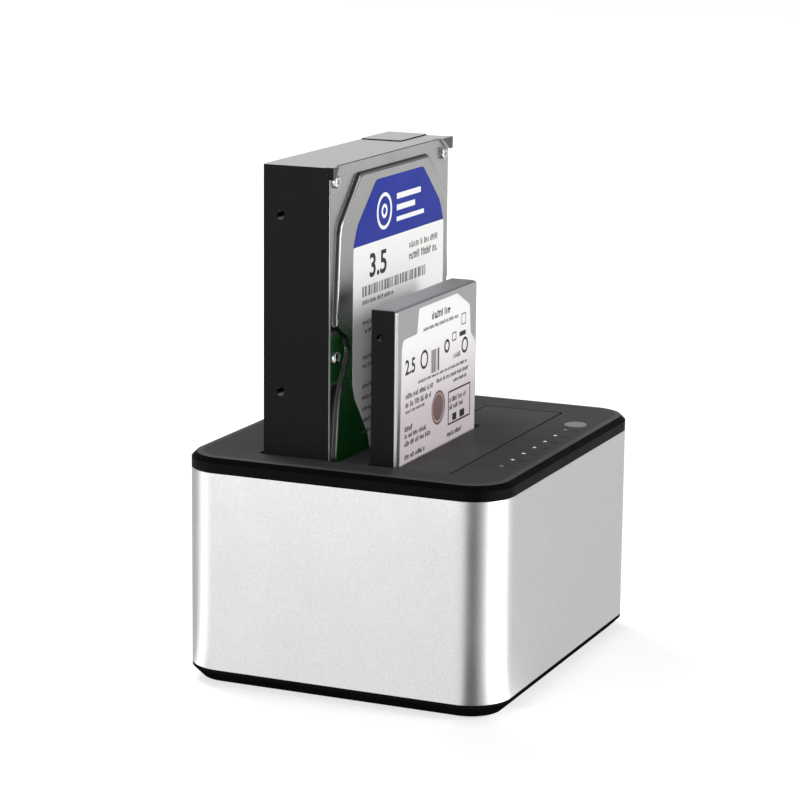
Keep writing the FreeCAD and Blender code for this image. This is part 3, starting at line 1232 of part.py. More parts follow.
# ---------------------------------------------------------------- the parts list
def parts():
    """Every node of the duplicator with its solid or group of solids."""
    nodes = {
        "aluminium_sleeve": aluminium_sleeve(), "top_deck": top_deck(), "base_tray": base_tray(),
        "rubber_feet": rubber_feet(), "base_screws": base_screws(), "rear_panel": rear_panel(),
        "main_board": main_board(), "board_screws": board_screws(),
        "drive_cradle": drive_cradle(), "cradle_screws": cradle_screws(),
        "front_drive_socket": drive_socket(small_socket_place(), SMALL_SEAT),
        "rear_drive_socket": drive_socket(large_socket_place(), LARGE_SEAT),
        "control_chips": control_chips(), "capacitors": capacitors(), "inductors": inductors(),
        "usb_socket": usb_socket(), "usb_insert": usb_insert(), "dc_jack": dc_jack(),
        "dc_jack_pin": dc_jack_pin(), "power_switch": power_switch(), "power_rocker": power_rocker(),
        "lamp_board": lamp_board(), "lamp_screws": lamp_screws(), "lamps": lamps(),
        "light_pipes": light_pipes(), "lamp_ribbon": lamp_ribbon(), "ribbon_sockets": ribbon_sockets(),
        "clone_button": clone_button(), "tact_switch": tact_switch(), "tact_plunger": tact_plunger(),
        "large_drive_casting": large_drive_casting(), "large_drive_lid": large_drive_lid(),
        "large_lid_screws": large_lid_screws(), "large_drive_label": large_drive_label(),
        "large_drive_board": large_drive_board(), "large_board_screws": large_board_screws(),
        "large_drive_plug": drive_plug(large_socket_place(), LARGE_SEAT),
        "small_drive_casting": small_drive_casting(), "small_drive_cover": small_drive_cover(),
        "small_drive_label": small_drive_label(), "small_drive_spindle_cap": small_drive_spindle_cap(),
        "small_drive_board": small_drive_board(),
        "small_drive_plug": drive_plug(small_socket_place(), SMALL_SEAT),
    }
    for name, spec in PANELS.items():
        nodes[name] = hinged_panel(spec)
        nodes[name + "_pin"] = hinge_pin(spec)
        nodes[name + "_spring"] = door_spring(spec)
    return nodes


os.makedirs("parts", exist_ok=True)
for node, shape in parts().items():
    shape.exportStep("parts/" + node + ".step")
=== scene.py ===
"""Looks of the two-bay drive duplicator, built round its CAD solids.

The solids carry the forms. This script gives every surface its finish, and models what is
too fine for them: printed marks, recessed screws, contacts and small board parts.
"""
import json
import math
import random

import bmesh
import bpy
from mathutils import Matrix, Vector


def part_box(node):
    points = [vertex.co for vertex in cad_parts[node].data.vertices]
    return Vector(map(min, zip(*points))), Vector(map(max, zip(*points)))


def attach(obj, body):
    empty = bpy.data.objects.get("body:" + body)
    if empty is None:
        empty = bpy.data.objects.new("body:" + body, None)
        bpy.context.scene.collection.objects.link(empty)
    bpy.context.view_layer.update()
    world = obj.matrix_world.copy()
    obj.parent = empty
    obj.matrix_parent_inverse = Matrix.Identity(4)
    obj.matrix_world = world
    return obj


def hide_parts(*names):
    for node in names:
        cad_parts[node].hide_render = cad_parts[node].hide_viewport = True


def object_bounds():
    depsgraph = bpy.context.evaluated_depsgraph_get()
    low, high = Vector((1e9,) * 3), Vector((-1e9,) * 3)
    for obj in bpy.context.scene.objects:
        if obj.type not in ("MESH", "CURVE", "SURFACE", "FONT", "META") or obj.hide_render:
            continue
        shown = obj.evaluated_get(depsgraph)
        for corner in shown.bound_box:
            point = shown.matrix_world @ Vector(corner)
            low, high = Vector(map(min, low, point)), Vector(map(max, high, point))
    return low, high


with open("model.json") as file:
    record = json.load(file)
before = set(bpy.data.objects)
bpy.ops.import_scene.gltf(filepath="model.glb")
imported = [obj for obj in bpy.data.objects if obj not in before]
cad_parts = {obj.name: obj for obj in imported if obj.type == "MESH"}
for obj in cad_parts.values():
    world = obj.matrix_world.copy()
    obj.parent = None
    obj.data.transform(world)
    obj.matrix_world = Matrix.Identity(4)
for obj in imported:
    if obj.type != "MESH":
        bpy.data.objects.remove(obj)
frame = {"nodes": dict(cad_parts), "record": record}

solid_box = [list(corner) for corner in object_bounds()]
MM = 0.001

# ---------------------------------------------------------------- camera and light
VIEW_AZIMUTH = -66.55
VIEW_ELEVATION = 12.0
VIEW_ROLL = 0.58
VIEW_DISTANCE = 1.0
VIEW_CENTRE = Vector((0.0064, 0.0088, 0.0892))
VIEW_FIELD = 16.17
FLOOR_HALF = 3.0
AMBIENT = 0.30
FLOOR_WHITE = 0.50
FLOOR_GLOW = 0.58
GLOW_NEAR, GLOW_FAR = 0.35, 1.3
CARD_PEAK = 3.0
CORNER = 14.7 * MM
# Each card edge is (degrees from straight left, positive towards the front; brightness).
CARDS = ((-180, 0.9), (-150, 0.9), (-128, 0.6), (-94, 0.6), (-82, 0.9), (-72, 1.9), (-52, 1.9),
         (-42, 1.08), (-10, 1.1), (1, 1.06), (14, 0.15), (33, 0.15), (52, 0.8), (74, 2.8),
         (106, 2.8), (124, 1.1), (150, 0.76), (180, 0.76))
SHEET_RADIUS = 1.2
SHEET_LIFT = 0.0004

# ---------------------------------------------------------------- small parts
PRINT_DEPTH = 0.03 * MM
CONTACT_PITCH = 1.27 * MM
CONTACT_WIDTH = 0.7 * MM
NUMBER_ASIDE, NUMBER_AHEAD = 0.7 * MM, 3.4 * MM
# Text size for each unit of a figure's height.
FIGURE_SIZE = 1.37
# The plug's tongues and the boards' small parts, in plain millimetres.
SIGNAL_TONGUE, TONGUE_GAP, POWER_TONGUE = 10.4, 2.4, 20.6
PART_SIZES = ((1.6, 0.8), (2.0, 1.2), (1.0, 0.5))
PART_STEP = 3


# ================================================================ modelling helpers
def only(obj):
    """Selects one object and makes it active."""
    bpy.ops.object.select_all(action="DESELECT")
    obj.select_set(True)
    bpy.context.view_layer.objects.active = obj
    return obj


def named(name):
    obj = bpy.context.active_object
    obj.name = obj.data.name = name
    return obj


def set_place(obj):
    """Moves an object's place, turn and scale into its mesh."""
    only(obj)
    bpy.ops.object.transform_apply(location=True, rotation=True, scale=True)
    return obj


def slab(name, low, high):
    """A block between two corners, ready to be shaped."""
    low, high = Vector(low), Vector(high)
    bpy.ops.object.select_all(action="DESELECT")
    bpy.ops.mesh.primitive_cube_add(size=1, location=(low + high) / 2, scale=high - low)
    return set_place(named(name))


def round_bar(name, centre, radius, depth, sides, turn=(0, 0, 0)):
    """A round blank about its own axis, ready to be shaped."""
    bpy.ops.object.select_all(action="DESELECT")
    bpy.ops.mesh.primitive_cylinder_add(vertices=sides, radius=radius, depth=depth,
                                        location=centre, rotation=turn)
    return set_place(named(name))


def open_edit(obj, kind="FACE"):
    only(obj)
    bpy.ops.object.mode_set(mode="EDIT")
    bpy.ops.mesh.select_mode(type=kind)
    bpy.ops.mesh.select_all(action="DESELECT")


def close_edit():
    bpy.ops.object.mode_set(mode="OBJECT")


def pick_faces(obj, wanted):
    """Selects the faces for which wanted(centre, normal) holds."""
    bpy.ops.mesh.select_all(action="DESELECT")
    mesh = bmesh.from_edit_mesh(obj.data)
    for face in mesh.faces:
        face.select_set(wanted(face.calc_center_median(), face.normal))
    bmesh.update_edit_mesh(obj.data)


def pick_edges(obj, wanted):
    """Selects the edges both of whose ends satisfy wanted(place)."""
    bpy.ops.mesh.select_all(action="DESELECT")
    mesh = bmesh.from_edit_mesh(obj.data)
    for edge in mesh.edges:
        edge.select_set(all(wanted(corner.co) for corner in edge.verts))
    bmesh.update_edit_mesh(obj.data)


def pick_points(obj, wanted):
    """Selects the corners for which wanted(place) holds."""
    bpy.ops.mesh.select_all(action="DESELECT")
    mesh = bmesh.from_edit_mesh(obj.data)
    for corner in mesh.verts:
        corner.select_set(wanted(corner.co))
    mesh.select_flush_mode()
    bmesh.update_edit_mesh(obj.data)


def copied(obj, name, shift, turn=None):
    """A copy with its own mesh, turned about the origin and then shifted."""
    copy = obj.copy()
    copy.data = obj.data.copy()
    copy.name = copy.data.name = name
    bpy.context.scene.collection.objects.link(copy)
    copy.data.transform(Matrix.Translation(shift) @ (turn or Matrix.Identity(4)))
    return copy


def joined(name, objs):
    """Joins several shaped pieces of one material into one object."""
    bpy.ops.object.select_all(action="DESELECT")
    for obj in objs:
        obj.select_set(True)
    bpy.context.view_layer.objects.active = objs[0]
    bpy.ops.object.join()
    return named(name)


def fitted(obj, material, body):
    """Gives a finished piece its material and its body."""
    obj.data.materials.clear()
    obj.data.materials.append(material)
    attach(obj, body)
    return obj


# ================================================================ shader groups
def group(name, inputs, outputs):
    """An empty node group with its named sockets; returns the tree and its two ends."""
    tree = bpy.data.node_groups.new(name, "ShaderNodeTree")
    for label, kind, value in inputs:
        socket = tree.interface.new_socket(name=label, in_out="INPUT", socket_type="NodeSocket" + kind)
        socket.default_value = value
    for label, kind in outputs:
        tree.interface.new_socket(name=label, in_out="OUTPUT", socket_type="NodeSocket" + kind)
    return tree, tree.nodes.new("NodeGroupInput"), tree.nodes.new("NodeGroupOutput")


def node(tree, kind, settings=None, **values):
    """Adds a node; values are its inputs, given as numbers, colours or other nodes' sockets."""
    made = tree.nodes.new("ShaderNode" + kind)
    for key, value in (settings or {}).items():
        setattr(made, key, value)
    for key, value in values.items():
        socket = made.inputs[int(key[1:])] if key[1:].isdigit() else made.inputs[key.replace("_", " ")]
        if isinstance(value, bpy.types.NodeSocket):
            tree.links.new(value, socket)
        else:
            socket.default_value = value
    return made


def maths(tree, operation, a, b=0.0):
    return node(tree, "Math", {"operation": operation}, i0=a, i1=b).outputs[0]


def spread(tree, value, low, high, to_low=0.0, to_high=1.0):
    """Maps a value from one range to another, held at its ends."""
    return node(tree, "MapRange", None, Value=value, From_Min=low, From_Max=high,
                To_Min=to_low, To_Max=to_high).outputs[0]


def blend_colour(tree, mask, first, second):
    mixed = node(tree, "Mix", {"data_type": "RGBA"}, i0=mask, i6=first, i7=second)
    return mixed.outputs[2]


def own_place(tree):
    return node(tree, "TexCoord").outputs["Object"]


def grain_group():
    """Fine blasted or moulded grain: a height and scattered light and dark flecks."""
    tree, into, out = group("fine_grain", [("Scale", "Float", 3000.0), ("Clumps", "Float", 0.35)],
                            [("Height", "Float"), ("Fleck", "Float")])
    place = own_place(tree)
    fine = node(tree, "TexNoise", None, Vector=place, Scale=into.outputs["Scale"], Detail=2.0).outputs["Fac"]
    coarse_scale = maths(tree, "MULTIPLY", into.outputs["Scale"], 0.23)
    coarse = node(tree, "TexNoise", None, Vector=place, Scale=coarse_scale, Detail=1.0).outputs["Fac"]
    mixed = node(tree, "Mix", {"data_type": "FLOAT"}, i0=into.outputs["Clumps"], i2=fine, i3=coarse)
    tree.links.new(mixed.outputs[0], out.inputs["Height"])
    tree.links.new(spread(tree, fine, 0.3, 0.7), out.inputs["Fleck"])
    return tree


def smear_group():
    """Slow variation from handling: a value round one half."""
    tree, into, out = group("handling_smears", [("Scale", "Float", 45.0)], [("Value", "Float")])
    place = own_place(tree)
    broad = node(tree, "TexNoise", None, Vector=place, Scale=into.outputs["Scale"], Detail=5.0,
                 Roughness=0.6).outputs["Fac"]
    tree.links.new(spread(tree, broad, 0.32, 0.68), out.inputs["Value"])
    return tree


def edge_group():
    """Rounded-over edges: a softened normal, and a broken mask where edges rub bright."""
    tree, into, out = group("softened_edges", [("Radius", "Float", 0.0002), ("Rub", "Float", 0.5)],
                            [("Normal", "Vector"), ("Mask", "Float")])
    soft = node(tree, "Bevel", {"samples": 4}, Radius=into.outputs["Radius"]).outputs["Normal"]
    flat = node(tree, "NewGeometry").outputs["Normal"]
    agree = node(tree, "VectorMath", {"operation": "DOT_PRODUCT"}, i0=soft, i1=flat).outputs["Value"]
    edge = spread(tree, agree, 0.995, 0.8)
    broken = node(tree, "TexNoise", None, Vector=own_place(tree), Scale=260.0, Detail=4.0).outputs["Fac"]
    worn = maths(tree, "MULTIPLY", edge, spread(tree, broken, 0.42, 0.62))
    tree.links.new(soft, out.inputs["Normal"])
    tree.links.new(maths(tree, "MULTIPLY", worn, into.outputs["Rub"]), out.inputs["Mask"])
    return tree


def dust_group():
    """Dust settled on faces that look up, in thin drifts."""
    tree, into, out = group("settled_dust", [("Amount", "Float", 0.1)], [("Mask", "Float")])
    facing = node(tree, "SeparateXYZ", None, Vector=node(tree, "TexCoord").outputs["Normal"]).outputs["Z"]
    drift = node(tree, "TexNoise", None, Vector=own_place(tree), Scale=90.0, Detail=6.0,
                 Roughness=0.7).outputs["Fac"]
    upward = maths(tree, "MULTIPLY", spread(tree, facing, 0.6, 0.95), spread(tree, drift, 0.4, 0.75))
    tree.links.new(maths(tree, "MULTIPLY", upward, into.outputs["Amount"]), out.inputs["Mask"])
    return tree


GRAIN, SMEAR, EDGE, DUST = grain_group(), smear_group(), edge_group(), dust_group()


def placed_group(tree, shared, **values):
    made = tree.nodes.new("ShaderNodeGroup")
    made.node_tree = shared
    for key, value in values.items():
        made.inputs[key].default_value = value
    return made


# ================================================================ finishes
def grey(value):
    return (value, value, value, 1.0)


def scaled(colour, factor):
    return tuple(min(1.0, c * factor) for c in colour[:3]) + (1.0,)


def surface(name, colour, rough, metallic=0.0, grain=3000.0, depth=0.02, fleck=0.06, smear=0.05,
            radius=0.2, rub=0.25, rub_colour=None, dust=0.0, coat=0.0, shine=0.5):
    """A finish with grain, handling smears, softened and rubbed edges, and settled dust.

    depth is the grain's height and radius the edges' rounding, both in millimetres.
    """
    material = bpy.data.materials.new(name)
    material.use_nodes = True
    tree = material.node_tree
    shader = tree.nodes["Principled BSDF"]
    grains = placed_group(tree, GRAIN, Scale=grain)
    smears = placed_group(tree, SMEAR)
    edges = placed_group(tree, EDGE, Radius=radius * MM, Rub=rub)
    body = blend_colour(tree, grains.outputs["Fleck"], scaled(colour, 1 - fleck), scaled(colour, 1 + fleck))
    body = blend_colour(tree, edges.outputs["Mask"], body, rub_colour or scaled(colour, 1.6))
    if dust:
        layer = placed_group(tree, DUST, Amount=dust)
        body = blend_colour(tree, layer.outputs["Mask"], body, (0.42, 0.41, 0.39, 1.0))
    tree.links.new(body, shader.inputs["Base Color"])
    roughness = spread(tree, smears.outputs["Value"], 0.0, 1.0, max(0.03, rough - smear), rough + smear)
    tree.links.new(roughness, shader.inputs["Roughness"])
    bump = node(tree, "Bump", None, Strength=1.0, Distance=depth * MM,
                Height=grains.outputs["Height"], Normal=edges.outputs["Normal"])
    tree.links.new(bump.outputs["Normal"], shader.inputs["Normal"])
    shader.inputs["Metallic"].default_value = metallic
    shader.inputs["Coat Weight"].default_value = coat
    shader.inputs["Specular IOR Level"].default_value = shine
    return material


def overlay(material, socket, mask, value):
    """Lays a colour or a number over what already feeds one of the shader's sockets."""
    tree = material.node_tree
    shader = tree.nodes["Principled BSDF"]
    under = shader.inputs[socket]
    below = under.links[0].from_socket if under.links else under.default_value
    if isinstance(value, tuple):
        result = blend_colour(tree, mask, below, value)
    else:
        result = node(tree, "Mix", {"data_type": "FLOAT"}, i0=mask, i2=below, i3=value).outputs[0]
    tree.links.new(result, under)
    return material


def along(material, axis, start, end):
    """A mask that rises from 0 at start to 1 at end along the piece's own X, Y or Z."""
    tree = material.node_tree
    place = node(tree, "SeparateXYZ", None, Vector=own_place(tree)).outputs[axis]
    return spread(tree, place, start, end)


def facing(material, axis, start=0.6, end=0.8):
    """A mask of the faces that look along one axis, either way."""
    tree = material.node_tree
    normal = node(tree, "TexCoord").outputs["Normal"]
    part = node(tree, "SeparateXYZ", None, Vector=normal).outputs[axis]
    return spread(tree, maths(tree, "ABSOLUTE", part), start, end)


def anodised_aluminium():
    return surface("anodised_aluminium", (0.63, 0.63, 0.635, 1), 0.30, metallic=1.0, grain=2600.0,
                   depth=0.012, fleck=0.09, smear=0.03, radius=0.25, rub=0.3,
                   rub_colour=(0.9, 0.9, 0.91, 1))


def deck_moulding():
    """Black moulding; its level top is painted greyer as painted sheen, and greyest on the faint fall round
    its edge as a painted highlight.
    """
    material = surface("deck_moulding", grey(0.0018), 0.46, grain=2300.0, depth=0.012, fleck=0.14,
                       smear=0.05, radius=0.3, rub=0.1, rub_colour=grey(0.02), shine=0.04)
    tree = material.node_tree
    up = node(tree, "SeparateXYZ", None, Vector=node(tree, "TexCoord").outputs["Normal"]).outputs["Z"]
    # Painted sheen: faces that look up are painted a greyer satin.
    level = spread(tree, up, 0.97, 0.99)
    overlay(material, "Base Color", level, grey(0.048))
    # Painted highlight on the faint fall round the top's edge.
    painted_crown_highlight = maths(tree, "MULTIPLY", level, spread(tree, up, 0.9992, 0.9982))
    overlay(material, "Base Color", painted_crown_highlight, grey(0.072))
    return material


def base_moulding():
    return surface("base_moulding", grey(0.005), 0.5, grain=2300.0, depth=0.01, fleck=0.12,
                   radius=0.3, rub=0.2, rub_colour=grey(0.01), dust=0.0, shine=0.0)


def door_moulding(front_edge):
    """The doors' satin black, with painted shade: plain black over the front door's rounded front edge."""
    material = surface("door_moulding", grey(0.048), 0.46, grain=2300.0, depth=0.012, fleck=0.14,
                       radius=0.25, rub=0.2, rub_colour=grey(0.05), shine=0.08)
    # Painted shade: a black strip over the front door's rounded front edge darkens its gap line.
    return overlay(material, "Base Color",
                   along(material, "Y", front_edge + 0.9 * MM, front_edge + 0.75 * MM), grey(0.0005))


def frame_moulding():
    return surface("frame_moulding", grey(0.03), 0.55, grain=1800.0, depth=0.015, radius=0.15, dust=0.1)


def foot_rubber():
    return surface("foot_rubber", grey(0.022), 0.78, grain=1500.0, depth=0.03, fleck=0.2, rub=0.4,
                   rub_colour=grey(0.07), dust=0.15)


def zinc_steel():
    return surface("zinc_steel", (0.66, 0.66, 0.67, 1), 0.26, metallic=1.0, grain=3500.0, depth=0.006,
                   fleck=0.08, smear=0.08, radius=0.12, rub=0.5, rub_colour=grey(0.85))


def spring_wire():
    return surface("spring_wire", (0.46, 0.46, 0.48, 1), 0.3, metallic=1.0, grain=4000.0, depth=0.004,
                   fleck=0.1, radius=0.06)


def plated_shell():
    return surface("plated_shell", (0.72, 0.72, 0.73, 1), 0.22, metallic=1.0, grain=3200.0, depth=0.004,
                   fleck=0.05, smear=0.07, radius=0.15, rub=0.4)


def gold_plate():
    return surface("gold_plate", (0.83, 0.62, 0.27, 1), 0.24, metallic=1.0, grain=3000.0, depth=0.003,
                   fleck=0.05, radius=0.05)


def solder_mask(name, colour, trace):
    """Board lacquer over copper tracks that run in steps, with bare tinned pads."""
    material = surface(name, colour, 0.34, grain=2600.0, depth=0.01, fleck=0.08, radius=0.1,
                       rub_colour=(0.35, 0.32, 0.2, 1), coat=0.25)
    tree = material.node_tree
    cells = node(tree, "TexVoronoi", {"distance": "CHEBYCHEV", "feature": "F1"},
                 Vector=own_place(tree), Scale=330.0, Randomness=0.55).outputs["Distance"]
    bands = maths(tree, "PINGPONG", maths(tree, "MULTIPLY", cells, 6.0), 1.0)
    overlay(material, "Base Color", spread(tree, bands, 0.62, 0.72), trace)
    pads = node(tree, "TexVoronoi", None, Vector=own_place(tree), Scale=150.0).outputs["Distance"]
    dots = spread(tree, pads, 0.105, 0.09)
    overlay(material, "Base Color", dots, (0.62, 0.58, 0.46, 1.0))
    return material


def moulded_epoxy():
    return surface("moulded_epoxy", grey(0.028), 0.5, grain=2600.0, depth=0.01, fleck=0.2, radius=0.1)


def capacitor_sleeve():
    return surface("capacitor_can", (0.6, 0.6, 0.62, 1), 0.28, metallic=1.0, grain=3000.0, depth=0.003,
                   fleck=0.05, radius=0.1)


def sintered_ferrite():
    return surface("sintered_ferrite", (0.12, 0.12, 0.13, 1), 0.6, grain=2200.0, depth=0.03, fleck=0.25)


def connector_nylon():
    return surface("connector_nylon", grey(0.022), 0.4, grain=2400.0, depth=0.006, radius=0.12)


def ribbon_film():
    return surface("ribbon_film", (0.82, 0.82, 0.79, 1), 0.35, grain=1800.0, depth=0.004, fleck=0.03)


def button_satin():
    return surface("button_satin", grey(0.19), 0.42, grain=3200.0, depth=0.006, fleck=0.07, radius=0.3,
                   rub=0.3, dust=0.06)


def lamp_package():
    return surface("lamp_package", (0.86, 0.88, 0.9, 1), 0.3, grain=3000.0, depth=0.002, fleck=0.02)


def clear_acrylic(first, pitch, lit_places, line):
    """Clear light pipes; the middle of each lit tip glows a soft white."""
    material = surface("clear_acrylic", (0.05, 0.05, 0.055, 1), 0.2, grain=2500.0, depth=0.002, fleck=0.03,
                       radius=0.05, rub=0.0)
    tree = material.node_tree
    place = node(tree, "SeparateXYZ", None, Vector=own_place(tree))
    steps = maths(tree, "DIVIDE", maths(tree, "SUBTRACT", place.outputs["X"], first), pitch)
    beside = maths(tree, "MULTIPLY", maths(tree, "SUBTRACT", steps, maths(tree, "ROUND", steps)), pitch)
    across = maths(tree, "SUBTRACT", place.outputs["Y"], line)
    from_axis = maths(tree, "SQRT", maths(tree, "ADD", maths(tree, "POWER", beside, 2.0),
                                          maths(tree, "POWER", across, 2.0)))
    core = spread(tree, from_axis, 0.8 * MM, 0.35 * MM)
    lit = maths(tree, "MULTIPLY", spread(tree, steps, lit_places[0] - 0.6, lit_places[0] - 0.4),
                spread(tree, steps, lit_places[1] + 0.6, lit_places[1] + 0.4))
    overlay(material, "Base Color", core, grey(0.30))
    glow = maths(tree, "MULTIPLY", lit, core)
    overlay(material, "Base Color", glow, (0.75, 0.77, 0.8, 1.0))
    shader = tree.nodes["Principled BSDF"]
    shader.inputs["Emission Strength"].default_value = 0.3
    glow_colour = blend_colour(tree, glow, grey(0.0), (0.86, 0.93, 1.0, 1.0))
    tree.links.new(glow_colour, shader.inputs["Emission Color"])
    return material


def cast_and_machined(name, bare_metal, ear_foot, front_back):
    """Black-coated sides and back; the ends and the front border are bare metal, the ears' front faces a
    darker grey.
    """
    material = surface(name, grey(0.006), 0.4, grain=2000.0, depth=0.02, fleck=0.2, radius=0.15, rub=0.35,
                       rub_colour=grey(0.2), shine=0.06)
    tree = material.node_tree
    border = along(material, "Y", front_back, front_back - 0.05 * MM)
    front = maths(tree, "MULTIPLY", facing(material, "Y"), border)
    bare = maths(tree, "MAXIMUM", facing(material, "Z"), front)
    overlay(material, "Base Color", bare, grey(bare_metal))
    overlay(material, "Metallic", bare, 0.75)
    overlay(material, "Roughness", bare, 0.42)
    ears = maths(tree, "MULTIPLY", front, along(material, "Z", ear_foot, ear_foot + 0.05 * MM))
    overlay(material, "Base Color", ears, (0.10, 0.10, 0.10, 1.0))
    return material


def stamped_lid(green_low, green_high, screw_height, raised_face):
    """Satin stamped lid, with a painted dark green reflection on its lower field and round the middle screws.

    The wall of its raised field has a dark crease of painted shade.
    """
    material = surface("stamped_lid", (0.38, 0.38, 0.375, 1), 0.30, metallic=1.0, grain=2200.0,
                       depth=0.003, fleck=0.08, smear=0.05, radius=0.1, rub=0.2, rub_colour=grey(0.7))
    tree = material.node_tree
    height = node(tree, "SeparateXYZ", None, Vector=own_place(tree)).outputs["Z"]
    near_screw = spread(tree, maths(tree, "ABSOLUTE", maths(tree, "SUBTRACT", height, screw_height)),
                        9.5 * MM, 8.0 * MM)
    raised = along(material, "Y", raised_face + 0.6 * MM, raised_face + 0.3 * MM)
    fade = along(material, "Z", green_high, green_low)
    # Painted reflection: the mask named lacquer lays a dark green reflection on the lower raised field and
    # round the middle screws.
    lacquer = maths(tree, "MULTIPLY", fade, maths(tree, "MAXIMUM", raised, near_screw))
    lacquer = maths(tree, "MULTIPLY", lacquer, facing(material, "Y", 0.93, 0.985))
    overlay(material, "Base Color", lacquer, (0.006, 0.085, 0.014, 1.0))
    overlay(material, "Metallic", lacquer, 0.25)
    # Painted shade: a dark grey line along the wall of the raised field.
    wall = maths(tree, "SUBTRACT", 1.0, facing(material, "Y", 0.80, 0.95))
    crease = maths(tree, "MULTIPLY", along(material, "Y", raised_face + 0.35 * MM, raised_face + 0.6 * MM),
                   along(material, "Y", raised_face + 1.7 * MM, raised_face + 1.3 * MM))
    overlay(material, "Base Color", maths(tree, "MULTIPLY", wall, crease), grey(0.09))
    return material


def pressed_cover():
    return surface("pressed_cover", (0.45, 0.45, 0.45, 1), 0.34, metallic=1.0, grain=2400.0, depth=0.01,
                   fleck=0.06, smear=0.05, radius=0.12, rub=0.2, rub_colour=grey(0.55))


def printed_sheet(name, colour, above=None, below=None):
    """Coated paper label; above is a printed field and below a field of painted shade, each (colour, from,
    to) setting in along its height.
    """
    material = surface(name, colour, 0.38, grain=1600.0, depth=0.006, fleck=0.02, smear=0.06, radius=0.05,
                       rub=0.0, shine=0.12)
    for field in (above, below):
        if field:
            overlay(material, "Base Color", along(material, "Z", *field[1:]), field[0])
    return material


def moulded_part(name, colour):
    return surface(name, colour, 0.42, grain=3000.0, depth=0.004, fleck=0.12, radius=0.05)


def print_ink(name, colour):
    return surface(name, colour, 0.45, grain=2600.0, depth=0.002, fleck=0.05, radius=0.02, rub=0.0,
                   shine=0.12)


def spindle_foil():
    material = surface("spindle_foil", (0.17, 0.105, 0.10, 1), 0.4, metallic=0.2, grain=2600.0,
                       depth=0.01, fleck=0.1, radius=0.2)
    tree = material.node_tree
    low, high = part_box("small_drive_spindle_cap")
    from_axis = node(tree, "VectorMath", {"operation": "DISTANCE"}, i0=own_place(tree), i1=(low + high) / 2)
    distance, rim = from_axis.outputs["Value"], (high.x - low.x) / 2
    inner = maths(tree, "MULTIPLY", spread(tree, distance, rim * 0.76, rim * 0.80),
                  spread(tree, distance, rim * 0.92, rim * 0.88))
    overlay(material, "Base Color", inner, (0.42, 0.33, 0.32, 1.0))
    overlay(material, "Base Color", spread(tree, distance, rim * 0.94, rim), (0.10, 0.06, 0.06, 1.0))
    return material


LARGE_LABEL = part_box("large_drive_label")
SMALL_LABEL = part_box("small_drive_label")
SMALL_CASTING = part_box("small_drive_casting")
LARGE_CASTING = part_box("large_drive_casting")
BLUE_FROM = LARGE_LABEL[1].z - 21.2 * MM
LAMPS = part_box("light_pipes")
LAMP_PITCH = 10.25 * MM
LAMP_FIRST = LAMPS[0].x + 2.0 * MM
LAMP_LINE = (LAMPS[0].y + LAMPS[1].y) / 2

FINISHES = {
    "anodised_aluminium": anodised_aluminium(),
    "deck_plastic": deck_moulding(),
    "base_plastic": base_moulding(),
    "door_plastic": door_moulding(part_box("front_door")[0].y),
    "frame_plastic": frame_moulding(),
    "foot_rubber": foot_rubber(),
    "steel": zinc_steel(),
    "spring_steel": spring_wire(),
    "circuit_board": solder_mask("board_lacquer", (0.012, 0.11, 0.045, 1), (0.03, 0.2, 0.08, 1)),
    "drive_circuit_board": solder_mask("drive_board_lacquer", (0.008, 0.07, 0.11, 1), (0.02, 0.13, 0.18, 1)),
    "chip_black": moulded_epoxy(),
    "capacitor_can": capacitor_sleeve(),
    "ferrite": sintered_ferrite(),
    "connector_plastic": connector_nylon(),
    "socket_metal": plated_shell(),
    "contact_brass": gold_plate(),
    "clear_plastic": clear_acrylic(LAMP_FIRST, LAMP_PITCH, (1, 5), LAMP_LINE),
    "lamp_body": lamp_package(),
    "ribbon": ribbon_film(),
    "button_plastic": button_satin(),
    "drive_casting": cast_and_machined("cast_body", 0.95, LARGE_CASTING[1].z - 4.7 * MM,
                                       LARGE_CASTING[0].y + 1.7 * MM),
    "drive_lid_metal": stamped_lid(LARGE_LABEL[0].z + 58 * MM, LARGE_LABEL[0].z + 72 * MM,
                                   LARGE_CASTING[0].z + 82.5 * MM, LARGE_LABEL[1].y),
    "spindle_seal": spindle_foil(),
}
NODE_FINISHES = {
    "large_drive_label": printed_sheet("large_label_sheet", (0.84, 0.85, 0.83, 1),
                                       above=((0.004, 0.018, 0.27, 1.0), BLUE_FROM, BLUE_FROM + 0.1 * MM)),
    # Painted shade: the small label's below field darkens it to a pinkish grey towards its bottom.
    "small_drive_label": printed_sheet("small_label_sheet", (0.86, 0.84, 0.85, 1),
                                       below=((0.60, 0.535, 0.56, 1.0), SMALL_LABEL[1].z - 12 * MM,
                                              SMALL_LABEL[1].z - 36 * MM)),
    "small_drive_cover": pressed_cover(),
    "small_drive_casting": cast_and_machined("small_cast_body", 0.5, SMALL_CASTING[1].z,
                                             SMALL_CASTING[0].y + 0.1 * MM),
}
INK_BLACK = print_ink("ink_black", grey(0.02))
INK_GREY = print_ink("ink_grey", grey(0.12))
INK_WHITE = print_ink("ink_white", grey(0.85))
INK_DECK = print_ink("ink_deck", grey(0.004))
PART_TAN = moulded_part("ceramic_tan", (0.30, 0.21, 0.12, 1))
PART_DARK = moulded_part("resistor_dark", grey(0.03))


def finish_solids():
    """Each CAD node takes the finish of its slot, or of its own where two differ within a slot."""
    slots = {part["node"]: part["material_slot"] for part in frame["record"]["subparts"]}
    for name, obj in frame["nodes"].items():
        obj.data.materials.clear()
        obj.data.materials.append(NODE_FINISHES.get(name) or FINISHES[slots[name]])


